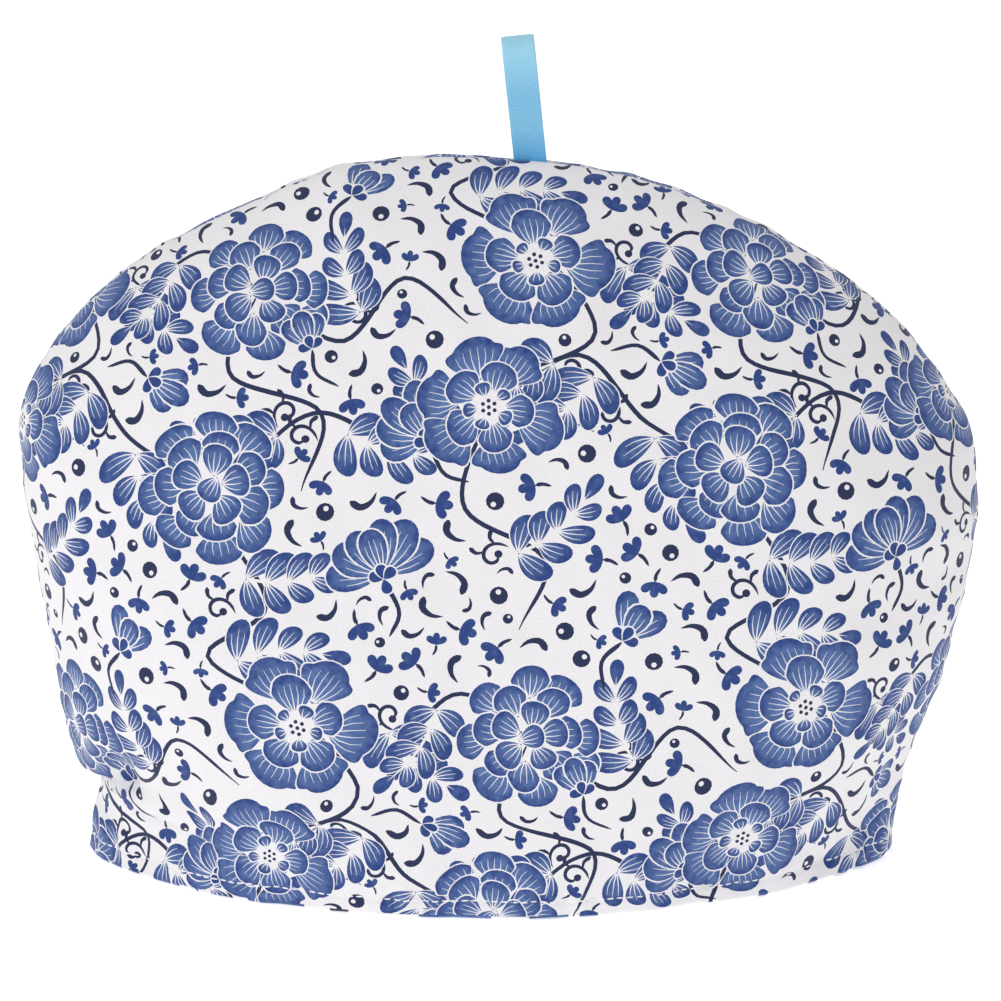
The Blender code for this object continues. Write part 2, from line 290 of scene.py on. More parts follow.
@dataclass
class PanelSurface:
    """One panel's outer surface, addressed by shares across (0 left, 1 right) and up (0 hem, 1 top)."""

    side: Side
    form: CosyForm
    folds: tuple[Fold, ...]
    creases: tuple[Fold, ...]
    hem_stitch_height: float = 5.5 * MM
    seam_valley: float = 0.8 * MM
    valley_width: float = 2.0 * MM
    seam_pucker: float = 0.45 * MM
    pucker_waves: float = 94.0
    pucker_drift: float = 31.0
    pucker_reach: float = 9.0 * MM
    pucker_start: float = 30.0 * MM
    seam_fade: float = 4.0 * MM
    hem_pucker: float = 0.55 * MM
    hem_wave: float = 1.35 * MM
    hem_drift: float = 7.1 * MM
    hem_spread: float = 5.0 * MM
    stitch_dent: float = 0.55 * MM
    stitch_spread: float = 0.9 * MM
    dome_start: float = 90.0 * MM
    seam_turn: float = 1.2 * MM
    softness: float = 0.35 * MM
    soft_waves: int = 7
    longest_wave: float = 34.0
    wave_step: float = 3.1
    first_turn: float = 0.9
    turn_step: float = 2.4
    shift_step: float = 1.7
    wave_overlap: float = 2.4
    step: float = 2e-3

    def __post_init__(self) -> None:
        """Keep the outline and its rows at the hem's ends and the shoulders, which every place needs."""
        form = self.form
        self.line = form.outline()
        ends = (0, form.left_shoulder, form.right_shoulder, len(form.seam) - 1)
        self.rows = [int(np.argmin(np.linalg.norm(self.line - form.seam[end], axis=1))) for end in ends]

    def _run(self, first: int, last: int, share: np.ndarray) -> np.ndarray:
        """Places on the seam line at shares of the way between two of its rows.

        Args:
            first: row where share 0 is.
            last: row where share 1 is.
            share: how far along.

        Returns:
            (..., x and z) places.
        """
        place = first + share * (last - first)
        steps = np.arange(len(self.line))
        return np.stack([np.interp(place, steps, self.line[:, axis]) for axis in range(2)], axis=-1)

    def seen(self, across: np.ndarray, up: np.ndarray) -> np.ndarray:
        """Place as seen from the front, (..., x and z), closer together towards the seam.

        Args:
            across: shares across, 0 left to 1 right.
            up: shares up, 0 hem to 1 top.

        Returns:
            (..., x and z) places, in metres.
        """
        across = (1 - np.cos(math.pi * across)) / 2
        up = np.sin(math.pi * up / 2)
        hem_left, left_shoulder, right_shoulder, hem_right = self.rows
        left = self._run(hem_left, left_shoulder, up)
        right = self._run(hem_right, right_shoulder, up)
        top = self._run(left_shoulder, right_shoulder, across)
        u, v = across[..., None], up[..., None]
        line = self.line
        hem = (1 - u) * line[hem_left] + u * line[hem_right]
        corners = ((1 - u) * (1 - v) * line[hem_left] + u * (1 - v) * line[hem_right]
                   + (1 - u) * v * line[left_shoulder] + u * v * line[right_shoulder])
        return (1 - u) * left + u * right + (1 - v) * hem + v * top - corners

    def plain(self, across: np.ndarray, up: np.ndarray) -> np.ndarray:
        """Place in space on the panel's main form, without what the needle does to it.

        Args:
            across: shares across, 0 left to 1 right.
            up: shares up, 0 hem to 1 top.

        Returns:
            (..., 3) places, in metres.
        """
        xz = self.seen(across, up)
        out = np.maximum(self.form.bulge(xz[..., 0], xz[..., 1], self.folds), self.form.seam_gap / 2)
        return np.stack((xz[..., 0], self.side.value * out, xz[..., 1]), axis=-1)

    def _normal(self, place: Callable[[np.ndarray, np.ndarray], np.ndarray], across: np.ndarray,
                up: np.ndarray) -> np.ndarray:
        """Outward normal of a surface function, from its differences, and straight out at the seam.

        Args:
            place: gives places from shares across and up.
            across: shares across, 0 left to 1 right.
            up: shares up, 0 hem to 1 top.

        Returns:
            (..., 3) unit normals.
        """
        low_u, high_u = np.maximum(across - self.step, 0.0), np.minimum(across + self.step, 1.0)
        low_v, high_v = np.maximum(up - self.step, 0.0), np.minimum(up + self.step, 1.0)
        along_u = place(high_u, up) - place(low_u, up)
        along_v = place(across, high_v) - place(across, low_v)
        normal = np.cross(along_u, along_v) * -self.side.value
        normal /= np.maximum(np.linalg.norm(normal, axis=-1, keepdims=True), 1e-12)
        here = place(across, up)
        rise = np.maximum(here[..., 2] - self.dome_start, 0.0)
        outward = np.stack((here[..., 0], np.zeros_like(rise), rise), axis=-1)
        outward /= np.linalg.norm(outward, axis=-1, keepdims=True)
        at_seam = np.exp(-(np.abs(here[..., 1:2]) / self.seam_turn) ** 2)
        normal = normal * (1 - at_seam) + outward * at_seam
        return normal / np.linalg.norm(normal, axis=-1, keepdims=True)

    def worked(self, across: np.ndarray, up: np.ndarray) -> np.ndarray:
        """Place in space with the seam's valley, the hem's stitching, puckers and creases.

        Args:
            across: shares across, 0 left to 1 right.
            up: shares up, 0 hem to 1 top.

        Returns:
            (..., 3) places, in metres.
        """
        base = self.plain(across, up)
        normal = self._normal(self.plain, across, up)
        x, z = base[..., 0], base[..., 2]
        out = np.abs(base[..., 1])
        bearing = np.arctan2(z, x)
        ripple = 0.6 + 0.4 * np.sin(self.pucker_drift * bearing + 1.3)
        ripple = np.sin(self.pucker_waves * bearing) * ripple
        valley = self.seam_valley * np.exp(-(out / self.valley_width) ** 2)
        growth = np.minimum(z / self.pucker_start, 1.0)
        press = valley + self.seam_pucker * ripple * np.exp(-out / self.pucker_reach) * growth
        waves = np.sin(x / self.hem_wave) * (0.5 + 0.5 * np.sin(x / self.hem_drift + self.side.value))
        above = z - self.hem_stitch_height
        press += self.hem_pucker * waves * np.exp(-(above / self.hem_spread) ** 2)
        press += self.stitch_dent * np.exp(-(above / self.stitch_spread) ** 2)
        press += self.form.folded(x, z, self.creases)
        for number in range(self.soft_waves):
            turn = self.first_turn + self.turn_step * number
            wave = (self.longest_wave - self.wave_step * number) * MM / (2 * math.pi)
            along = x * math.cos(turn) + z * math.sin(turn)
            press += self.softness / self.wave_overlap * np.sin(along / wave + self.shift_step * number)
        fade = np.minimum(out / self.seam_fade, 1.0)
        moved = base - normal * (valley + (press - valley) * fade)[..., None]
        moved[..., 1] = self.side.value * np.maximum(np.abs(moved[..., 1]), self.form.seam_gap / 2)
        return moved

    def normal(self, across: np.ndarray, up: np.ndarray) -> np.ndarray:
        """Outward normal of the worked surface."""
        return self._normal(self.worked, across, up)


@dataclass
class FlatCut:
    """The panel as it was cut: its surface flattened with as little stretch as it allows.

    Flat places are in millimetres, x to the right and y up, from the middle of the hem.
    """

    surface: PanelSurface
    columns: int = 34
    rows: int = 25
    rounds: int = 60

    def __post_init__(self) -> None:
        """Flatten the panel and keep a tree that finds places in it."""
        across, up = np.meshgrid(np.linspace(0, 1, self.columns + 1), np.linspace(0, 1, self.rows + 1))
        self.shares = np.stack((across.ravel(), up.ravel()), axis=-1)
        places = self.surface.plain(across, up).reshape(-1, 3) / MM
        index = np.arange(len(places)).reshape(self.rows + 1, self.columns + 1)
        a, b, c, d = index[:-1, :-1], index[:-1, 1:], index[1:, 1:], index[1:, :-1]
        lower = np.stack((a, b, c), axis=-1).reshape(-1, 3)
        upper = np.stack((a, c, d), axis=-1).reshape(-1, 3)
        self.triangles = np.concatenate((lower, upper))
        self.flat = self._flatten(places)
        corners = [Vector((x, y, 0.0)) for x, y in self.flat]
        self.tree = BVHTree.FromPolygons(corners, self.triangles.tolist())

    def _flatten(self, places: np.ndarray) -> np.ndarray:
        """Turn each small triangle flat and fit them together, as rigidly as they allow.

        Args:
            places: (n, 3) places in space, in millimetres.

        Returns:
            (n, 2) flat places.
        """
        tri = self.triangles
        one, two = places[tri[:, 1]] - places[tri[:, 0]], places[tri[:, 2]] - places[tri[:, 0]]
        length = np.linalg.norm(one, axis=1)
        foot = (one * two).sum(1) / length
        height = np.linalg.norm(np.cross(one, two), axis=1) / length
        local = np.stack((np.zeros(len(tri)), length, foot + 1j * height), axis=1)
        pairs = ((1, 2), (2, 0), (0, 1))
        weights = []
        for corner, (i, j) in enumerate(pairs):
            to_i, to_j = local[:, i] - local[:, corner], local[:, j] - local[:, corner]
            weights.append(0.5 * (to_i * to_j.conj()).real / np.abs((to_i * to_j.conj()).imag))
        system = np.zeros((len(places), len(places)))
        for (i, j), weight in zip(pairs, weights):
            np.add.at(system, (tri[:, i], tri[:, i]), weight)
            np.add.at(system, (tri[:, j], tri[:, j]), weight)
            np.add.at(system, (tri[:, i], tri[:, j]), -weight)
            np.add.at(system, (tri[:, j], tri[:, i]), -weight)
        system[0] = 0.0
        system[0, 0] = 1.0
        solve = np.linalg.inv(system)
        flat = places[:, 0] + 1j * places[:, 2]
        for _ in range(self.rounds):
            turn = np.zeros(len(tri), complex)
            for (i, j), weight in zip(pairs, weights):
                turn += weight * (flat[tri[:, i]] - flat[tri[:, j]]) * (local[:, i] - local[:, j]).conj()
            turn /= np.maximum(np.abs(turn), 1e-12)
            right = np.zeros(len(places), complex)
            for (i, j), weight in zip(pairs, weights):
                pull = weight * turn * (local[:, i] - local[:, j])
                np.add.at(right, tri[:, i], pull)
                np.add.at(right, tri[:, j], -pull)
            right[0] = 0.0
            flat = solve @ right
        middle = self.columns // 2
        bottom, top = flat[middle], flat[self.rows * (self.columns + 1) + middle]
        flat = (flat - bottom) * (1j * abs(top - bottom) / (top - bottom))
        return np.stack((flat.real, flat.imag), axis=-1)

    def edge(self, spacing: float) -> np.ndarray:
        """The cut's outline, anticlockwise from the hem's left end.

        Args:
            spacing: largest distance between its points, in millimetres.

        Returns:
            (n, 2) flat places; the last is not the first again.
        """
        index = np.arange(len(self.flat)).reshape(self.rows + 1, self.columns + 1)
        loop = np.concatenate((index[0, :-1], index[:-1, -1], index[-1, :0:-1], index[:0:-1, 0]))
        corners = self.flat[loop]
        following = np.roll(corners, -1, axis=0)
        runs = []
        for start, end in zip(corners, following):
            parts = max(1, math.ceil(np.linalg.norm(end - start) / spacing))
            runs.append(start + np.arange(parts)[:, None] / parts * (end - start))
        return np.concatenate(runs)

    def find(self, flat: np.ndarray) -> np.ndarray:
        """Shares across and up of flat places; one outside the cut gets its nearest edge.

        Args:
            flat: (n, 2) flat places, in millimetres.

        Returns:
            (n, 2) shares.
        """
        hits = [self.tree.find_nearest((x, y, 0.0)) for x, y in flat]
        nearest = np.array([hit[0][:2] for hit in hits])
        tri = self.triangles[[hit[2] for hit in hits]]
        a, b, c = (self.flat[tri[:, corner]] for corner in range(3))
        ab, ac, ap = b - a, c - a, nearest - a
        whole = ab[:, 0] * ac[:, 1] - ab[:, 1] * ac[:, 0]
        share_b = (ap[:, 0] * ac[:, 1] - ap[:, 1] * ac[:, 0]) / whole
        share_c = (ab[:, 0] * ap[:, 1] - ab[:, 1] * ap[:, 0]) / whole
        mixed = (self.shares[tri[:, 0]] * (1 - share_b - share_c)[:, None]
                 + self.shares[tri[:, 1]] * share_b[:, None] + self.shares[tri[:, 2]] * share_c[:, None])
        return np.clip(mixed, 0.0, 1.0)


@dataclass
class Shape:
    """One printed shape on a flat cut, in millimetres, places held as complex numbers.

    Its tone runs from pale at its base to deep at its tip.
    """

    outline: np.ndarray
    ink: Ink
    base: complex = 0j
    tip: complex = 1j
    pale: float = 0.5
    deep: float = 0.5

    def placed(self, place: complex, turn: complex) -> "Shape":
        """The same shape turned, grown and moved."""
        return Shape(self.outline * turn + place, self.ink, self.base * turn + place,
                     self.tip * turn + place, self.pale, self.deep)


@dataclass
class Drawing:
    """Shapes in the order in which they are printed."""

    shapes: list[Shape] = field(default_factory=list)

    def add(self, outline: np.ndarray, ink: Ink, base: complex = 0j, tip: complex = 1j,
            pale: float = 0.5, deep: float = 0.5) -> None:
        """Print one shape over what is there."""
        self.shapes.append(Shape(np.asarray(outline, complex), ink, base, tip, pale, deep))

    def stamp(self, other: "Drawing", place: complex, degrees: float = 0.0, size: float = 1.0,
              mirrored: bool = False) -> None:
        """Print another drawing at a place.

        Args:
            other: what is printed.
            place: where its own zero goes.
            degrees: its turn, anticlockwise.
            size: how much it grows.
            mirrored: whether its own X is turned round first.
        """
        turn = size * np.exp(1j * math.radians(degrees))
        for shape in other.shapes:
            if mirrored:
                shape = Shape(-shape.outline.conj(), shape.ink, -shape.base.conjugate(),
                              -shape.tip.conjugate(), shape.pale, shape.deep)
            self.shapes.append(shape.placed(place, turn))

    def petal(self, base: complex, degrees: float, length: float, width: float, lobes: int = 3,
              ruffle: float = 0.10, veins: int = 5, reach: float = 0.80, swell: float = 0.45,
              bend: float = 0.0, pale: float = 0.2, deep: float = 0.8, halo: float = 0.45) -> None:
        """Print a petal with a white edge beneath it and white veins in it.

        Args:
            base: where it starts.
            degrees: where it points.
            length: from base to tip.
            width: at its widest.
            lobes: scallops along its outer edge.
            ruffle: depth of the scallops, as a share of its size.
            veins: number of white veins.
            reach: how far the veins run, as a share of its length.
            swell: 0 for an oval petal, larger for one that is wide near its tip.
            bend: how far it curves sideways, as a share of its length.
            pale: tone at its base.
            deep: tone at its tip.
            halo: width of the white edge.
        """
        turn = np.exp(1j * math.radians(degrees))
        angle = np.linspace(-math.pi, math.pi, 10 + 6 * max(lobes, 1), endpoint=False)
        out = (1 + np.cos(angle)) / 2
        side = np.sin(angle) * out ** swell
        side /= np.abs(side).max()
        scallop = 1 + ruffle * (np.abs(np.cos(lobes * angle / 2)) - SCALLOP_LEVEL) * out ** 0.5

        def laid(along: np.ndarray, across: np.ndarray) -> np.ndarray:
            """Places on the petal from shares along it and across its half width."""
            return base + turn * (along * length + 1j * (across * width / 2 + bend * length * along ** 2))

        spread = 1 + 2 * halo / width
        if halo > 0:
            stretch = 1 + halo / length
            along = out * scallop * stretch - HALO_UNDER_BASE * halo / length
            self.add(laid(along, side * scallop * spread), Ink.COTTON)
        tip = base + turn * length
        self.add(laid(out * scallop, side * scallop), Ink.COBALT, base, tip, pale, deep)
        for number in range(veins):
            share = (2 * number + 1) / veins - 1
            steps = np.linspace(VEIN_START, reach * (1 - VEIN_SHORTENING * share * share), VEIN_POINTS)
            middle = VEIN_SPREAD * share * np.interp(steps, out[angle >= 0][::-1], side[angle >= 0][::-1])
            half = np.linspace(*VEIN_WIDTHS, VEIN_POINTS) * VEIN_BOLDNESS / width
            self.add(laid(np.concatenate((steps, steps[::-1])),
                          np.concatenate((middle + half, (middle - half)[::-1]))), Ink.COTTON)

    def stroke(self, points: Iterable[complex], start: float, middle: float, end: float,
               ink: Ink = Ink.NAVY, steps: int = 10) -> None:
        """Print a brush stroke along a smooth line.

        Args:
            points: places that the line passes.
            start: its width at the first place.
            middle: its width half way.
            end: its width at the last place.
            ink: what it is printed with.
            steps: how finely it is drawn.
        """
        table = np.array([(point.real, point.imag) for point in points])
        line = smooth_path(table, steps)
        line = line[:, 0] + 1j * line[:, 1]
        along = np.gradient(line)
        side = 1j * along / np.maximum(np.abs(along), 1e-9)
        share = np.linspace(0, 1, len(line))
        half = np.interp(share, (0, 0.5, 1), (start, middle, end)) / 2
        half = half * np.minimum(1, STROKE_END + STROKE_SWELL * np.minimum(share, 1 - share))
        self.add(np.concatenate((line + side * half, (line - side * half)[::-1])), ink)

    def disc(self, place: complex, radius: float, ink: Ink, points: int = 12) -> None:
        """Print a dot."""
        angle = np.linspace(0, 2 * math.pi, points, endpoint=False)
        self.add(place + radius * np.exp(1j * angle), ink)


class Ring(NamedTuple):
    """A ring of petals, in millimetres, with where its first petal points, in degrees."""

    count: int
    distance: float
    length: float
    width: float
    lobes: int
    veins: int
    start: float = 0.0


@dataclass
class Florist:
    """Flowers, leaves and scrolls of the print, each round its own zero in millimetres.

    They are drawn by rule, a little uneven as by hand, from one fixed seed.
    """

    seed: int = 11
    unevenness: float = 0.13
    petal_turn: float = 8.0
    petal_bend: float = 0.12
    petal_ruffle: float = 0.16
    peony_rings: tuple[Ring, ...] = (Ring(8, 10.5, 8.0, 11.5, 3, 5), Ring(7, 6.2, 7.6, 9.6, 3, 4, 24.0),
                                     Ring(5, 2.6, 6.8, 7.6, 2, 4, 10.0))
    rose_rings: tuple[Ring, ...] = (Ring(6, 7.5, 11.0, 14.0, 4, 6, 15.0), Ring(5, 3.6, 8.8, 9.5, 3, 5, 40.0))
    rose_heart: Ring = Ring(5, 3.0, 3.2, 3.8, 2, 2, 5.0)
    rose_eye: float = 4.6
    seed_places: tuple[tuple[int, float], ...] = ((1, 0.0), (6, 1.7))
    seed_size: float = 0.55

    def __post_init__(self) -> None:
        """Start the chance that makes each petal a little different."""
        self.chance = np.random.default_rng(self.seed)

    def draw(self, motif: Motif) -> Drawing:
        """Draw one motif afresh.

        Args:
            motif: which one.

        Returns:
            The motif, round its own zero.
        """
        ways = {Motif.PEONY: self.peony, Motif.ROSE: self.rose, Motif.LOTUS: self.lotus,
                Motif.BUD: self.bud, Motif.LEAF: self.leaf, Motif.COMMA: self.comma,
                Motif.TREFOIL: self.trefoil, Motif.BERRY: self.berry}
        return ways[motif]()

    def _uneven(self, value: float) -> float:
        """A value a little larger or smaller."""
        return value * self.chance.uniform(1 - self.unevenness, 1 + self.unevenness)

    def _ring(self, flower: Drawing, ring: Ring) -> None:
        """Print petals all round the middle of a flower.

        Args:
            flower: what is printed on.
            ring: the petals.
        """
        for number in range(ring.count):
            turn = self.chance.uniform(-self.petal_turn, self.petal_turn)
            degrees = ring.start + number * 360.0 / ring.count + turn
            base = ring.distance * np.exp(1j * math.radians(degrees))
            length, width = self._uneven(ring.length), self._uneven(ring.width)
            bend = self.chance.uniform(-self.petal_bend, self.petal_bend)
            flower.petal(base, degrees, length, width, ring.lobes, self.petal_ruffle, ring.veins, bend=bend)

    def peony(self) -> Drawing:
        """A full flower of three rings that close round a ball.

        Returns:
            The motif, round its own zero.
        """
        flower = Drawing()
        for ring in self.peony_rings:
            self._ring(flower, ring)
        flower.petal(1.6 + 2.2j, -125.0, 6.4, 6.4, 2, 0.08, 4)
        return flower

    def rose(self) -> Drawing:
        """An open flower with a dotted eye.

        Returns:
            The motif, round its own zero.
        """
        flower = Drawing()
        for ring in self.rose_rings:
            self._ring(flower, ring)
        flower.disc(0j, self.rose_eye, Ink.COTTON, 18)
        self._ring(flower, self.rose_heart)
        for count, distance in self.seed_places:
            for number in range(count):
                place = distance * np.exp(2j * math.pi * number / count)
                flower.disc(place, self.seed_size, Ink.NAVY, 8)
        return flower

    def lotus(self) -> Drawing:
        """A flower seen from the side, on its stem.

        Returns:
            The motif, round its own zero.
        """
        flower = Drawing()
        flower.stroke((-3 - 17j, 1 - 12j, 0 - 4j), 1.0, 1.0, 1.3)
        for degrees, length, width, lobes in ((168, 12, 7.5, 2), (14, 12, 7.5, 2), (136, 13.5, 8.5, 3),
                                              (45, 13.5, 8.5, 3), (110, 13, 7.0, 2), (73, 13, 7.0, 2),
                                              (91, 10, 6.5, 2)):
            flower.petal(-2j, degrees, self._uneven(length), width, lobes, 0.08, 4)
        for degrees in (150, 90, 30, -90):
            flower.petal(-3.4j, degrees, 3.6, 2.6, 1, 0.0, 0, pale=0.9, deep=1.0)
        return flower

    def bud(self) -> Drawing:
        """A closed flower on a bent stem.

        Returns:
            The motif, round its own zero.
        """
        flower = Drawing()
        flower.stroke((3 - 13j, -1 - 8j, 0 - 2j), 0.8, 0.9, 1.2)
        for degrees in (118, 62, 90):
            flower.petal(-1j, degrees, self._uneven(9.5), 5.2, 1, 0.0, 3)
        for degrees in (155, 25, 90):
            flower.petal(-1.6j, degrees, 3.4, 2.2, 1, 0.0, 0, pale=0.9, deep=1.0)
        return flower

    def leaf(self, bend: float = 0.5, length: float = 25.0, pairs: int = 4) -> Drawing:
        """A curved leaf with lobes on both sides and a white rib.

        Args:
            bend: how far it curves, as a share of its length.
            length: from foot to tip.
            pairs: number of lobes on each side.

        Returns:
            The motif, round its own zero.
        """
        leaf = Drawing()

        def rib(share: float) -> complex:
            """Place on the leaf's rib."""
            return length * complex(share, bend * share * share)

        for number in range(pairs):
            share = (number + 0.1) / pairs * 0.85
            heading = math.degrees(math.atan(2 * bend * share))
            reach = length * (0.40 - 0.17 * share)
            for hand in (1, -1):
                degrees = heading + hand * (68 - 26 * share)
                leaf.petal(rib(share), degrees, self._uneven(reach), reach * 0.62, 2, 0.12, 3,
                           bend=-0.18 * hand, pale=0.35, deep=0.95, halo=0.35)
        leaf.petal(rib(0.8), math.degrees(math.atan(1.7 * bend)), length * 0.30, length * 0.15, 1, 0.0, 0,
                   pale=0.6, deep=0.95, halo=0.35)
        leaf.stroke((rib(0.0), rib(0.3), rib(0.6), rib(0.88)), 0.9, 0.7, 0.25, Ink.COTTON, 6)
        return leaf

    def curl(self, length: float = 16.0, turns: float = 0.8, hand: int = 1) -> Drawing:
        """A thin stem that winds up round a knob, with two commas on its back.

        Args:
            length: of the stem.
            turns: how far it winds.
            hand: 1 to wind anticlockwise, -1 clockwise.

        Returns:
            The motif, round its own zero.
        """
        curl = Drawing()
        share = np.linspace(0, 1, 9)
        heading = hand * 2 * math.pi * turns * share ** 1.8
        line = np.concatenate(([0j], np.cumsum(np.exp(1j * heading[1:])))) * length / 8
        curl.stroke(line, 0.7, 1.15, 1.0, steps=22)
        curl.disc(line[-1], 1.15, Ink.NAVY, 10)
        for number in (2, 4):
            start = line[number]
            away = np.exp(1j * (heading[number] - hand * 0.8))
            curl.stroke((start, start + 2.2 * away, start + 4.2 * away * np.exp(-0.45j * hand)),
                        0.5, 1.1, 1.5, steps=6)
        return curl

    def comma(self) -> Drawing:
        """A single bent brush stroke.

        Returns:
            The motif, round its own zero.
        """
        comma = Drawing()
        comma.stroke((-3.2 - 1.6j, -1.8 + 0.4j, 0.6 + 1.3j, 2.7 - 0.2j), 0.4, 1.3, 1.9, steps=10)
        return comma

    def trefoil(self) -> Drawing:
        """Three drops on a short foot.

        Returns:
            The motif, round its own zero.
        """
        trefoil = Drawing()
        trefoil.stroke((-3.4 + 0.8j, -1.6 + 0j, 0j), 0.6, 0.8, 1.0, steps=5)
        for degrees in (-48, 4, 52):
            trefoil.petal(0j, degrees, 3.8, 2.1, 1, 0.0, 0, pale=0.7, deep=0.95, halo=0.0)
        return trefoil

    def berry(self) -> Drawing:
        """A round berry with a glint.

        Returns:
            The motif, round its own zero.
        """
        berry = Drawing()
        berry.disc(0j, 2.0, Ink.NAVY, 12)
        berry.disc(0.6 + 0.5j, 0.6, Ink.COTTON, 8)
        return berry


class Spot(NamedTuple):
    """A motif's place in the repeat, in millimetres, with its turn, size and hand."""

    motif: Motif
    x: float
    y: float
    degrees: float = 0.0
    size: float = 1.0
    mirrored: bool = False


class Stem(NamedTuple):
    """A stem of the repeat, from one flower to the next, in millimetres."""

    start: complex
    bend: complex
    far_bend: complex
    end: complex


STEMS = (
    Stem(8 + 4j, 30 + 20j, 58 + 8j, 78 + 20j),
    Stem(78 + 20j, 104 + 34j, 122 + 14j, 146 + 0j),
    Stem(0 - 8j, 14 - 34j, -4 - 48j, 20 - 64j),
    Stem(20 - 64j, 44 - 78j, 66 - 62j, 86 - 76j),
    Stem(86 - 76j, 110 - 92j, 128 - 74j, 146 - 88j),
    Stem(78 + 20j, 70 - 8j, 92 - 24j, 84 - 44j),
    Stem(20 - 64j, 36 - 92j, 10 - 106j, 34 - 120j),
    Stem(86 - 76j, 78 - 100j, 104 - 112j, 98 - 134j),
)
CURL_ROOTS = (30 + 12j, 110 + 22j, 5 - 36j, 48 - 72j, 82 - 20j, 110 - 82j, 24 - 104j, 92 - 116j)
LEAVES = tuple(Spot(Motif.LEAF, *row) for row in (
    (38, 14, -38, 1.0), (108, 28, 62, 0.95, True), (8, -26, -20, 0.95), (4, -50, 205, 1.0, True),
    (46, -72, -70, 0.95), (60, -66, 78, 0.95, True), (116, -84, -55, 0.95, True), (84, -22, 15, 1.0),
    (24, -100, 195, 0.95), (92, -118, 20, 0.95, True), (124, 10, -95, 1.0), (60, 10, 80, 0.9),
))
FLOWERS = (
    Spot(Motif.LOTUS, 46, -24, 15, 1.05), Spot(Motif.BUD, 114, -46, -35, 1.15),
    Spot(Motif.BUD, 56, -102, -120, 1.1), Spot(Motif.LOTUS, 132, -118, 30, 1.0, True),
    Spot(Motif.BUD, 28, 40, 20, 1.0), Spot(Motif.PEONY, 0, 0, 0, 1.0), Spot(Motif.ROSE, 78, 20, 30, 0.95),
    Spot(Motif.ROSE, 20, -70, -20, 1.0), Spot(Motif.PEONY, 86, -76, 140, 0.98),
)
FILLERS = (Motif.TREFOIL, Motif.COMMA, Motif.BERRY, Motif.TREFOIL, Motif.COMMA)


@dataclass
class Repeat:
    """The print's half-drop repeat, laid all over a panel."""

    drop_across: complex = 146.0 + 0.0j
    drop_down: complex = 73.0 - 132.0j
    back_shift: complex = 61.0 + 37.0j
    motif_size: float = 1.14
    curl_step: int = 15
    smallest_gap: float = 2.8
    largest_filler: float = 5.2
    filler_reach: float = 3.6
    filler_size: float = 0.9
    filler_claim: float = 0.8
    stem_widths: tuple[float, float, float] = (1.1, 1.4, 1.1)
    stem_steps: int = 34
    fill_step: float = 1.5
    span: int = 3

    def layers(self) -> list[Drawing]:
        """One repeat in layers: stems, curls, leaves, flowers, and what fills the gaps.

        Returns:
            The layers, the lowest first.
        """
        florist = Florist()
        stems = Drawing()
        for stem in STEMS:
            stems.stroke(stem, *self.stem_widths, steps=self.stem_steps)
        layers = [stems]
        for spots in (LEAVES, FLOWERS):
            layer = Drawing()
            for spot in spots:
                motif = florist.draw(spot.motif)
                layer.stamp(motif, complex(spot.x, spot.y), spot.degrees, spot.size * self.motif_size,
                            spot.mirrored)
            layers.append(layer)
        layers.insert(1, self._curls(layers, florist))
        return layers + [self._fillers(layers, florist)]

    def _around(self, layers: list[Drawing]) -> np.ndarray:
        """Places on the outlines of some layers, and of those of the repeats next to them.

        Args:
            layers: what is printed so far.

        Returns:
            Complex places.
        """
        outline = np.concatenate([shape.outline for layer in layers for shape in layer.shapes])
        return np.concatenate([outline + right * self.drop_across + down * self.drop_down
                               for right, down in itertools.product((-1, 0, 1), repeat=2)])

    def _curls(self, layers: list[Drawing], florist: Florist) -> Drawing:
        """Curls that leave the stems, each turned to where it has most room.

        Args:
            layers: what is printed so far.
            florist: who draws.

        Returns:
            The curls.
        """
        curls = Drawing()
        taken = self._around(layers)
        turns = np.arange(0, 360, self.curl_step)
        for number, root in enumerate(CURL_ROOTS):
            curl = florist.curl(hand=1 - 2 * (number % 2))
            middle = np.mean([shape.outline.mean() for shape in curl.shapes[:2]])
            middles = root + middle * np.exp(1j * np.radians(turns))
            room = np.abs(middles[:, None] - taken).min(axis=1)
            curls.stamp(curl, root, float(turns[room.argmax()]))
        return curls

    def _fillers(self, layers: list[Drawing], florist: Florist) -> Drawing:
        """Small motifs in the places that are still bare, the widest first.

        Args:
            layers: what is printed so far.
            florist: who draws.

        Returns:
            The small motifs.
        """
        fillers = Drawing()
        taken = self._around(layers)
        tree = KDTree(len(taken))
        for number, place in enumerate(taken):
            tree.insert((place.real, place.imag, 0.0), number)
        tree.balance()
        share = np.arange(0, 1, self.fill_step / abs(self.drop_across))
        right, down = np.meshgrid(share, share)
        bare = (right * self.drop_across + down * self.drop_down).ravel()
        room = np.array([tree.find((place.real, place.imag, 0.0))[2] for place in bare])
        number = 0
        while room.max() > self.smallest_gap:
            place = bare[room.argmax()]
            reach = min(room.max(), self.largest_filler)
            motif = florist.draw(FILLERS[number % len(FILLERS)])
            size = self.filler_size * reach / self.filler_reach
            fillers.stamp(motif, place, florist.chance.uniform(0, 360), size)
            for across, below in itertools.product((-1, 0, 1), repeat=2):
                away = abs(bare - place - across * self.drop_across - below * self.drop_down)
                room = np.minimum(room, away - self.filler_claim * reach)
            number += 1
        return fillers

    def repeated(self, side: Side) -> Drawing:
        """The repeat laid all over one panel, the back's so that it reads right from behind.

        Args:
            side: which panel.

        Returns:
            The panel's whole print.
        """
        cloth = Drawing()
        behind = side is Side.BACK
        steps = range(-self.span, self.span + 1)
        for layer in self.layers():
            for right, down in itertools.product(steps, steps):
                place = right * self.drop_across + down * self.drop_down
                if behind:
                    place = -(place + self.back_shift).conjugate()
                cloth.stamp(layer, place, mirrored=behind)
        return cloth


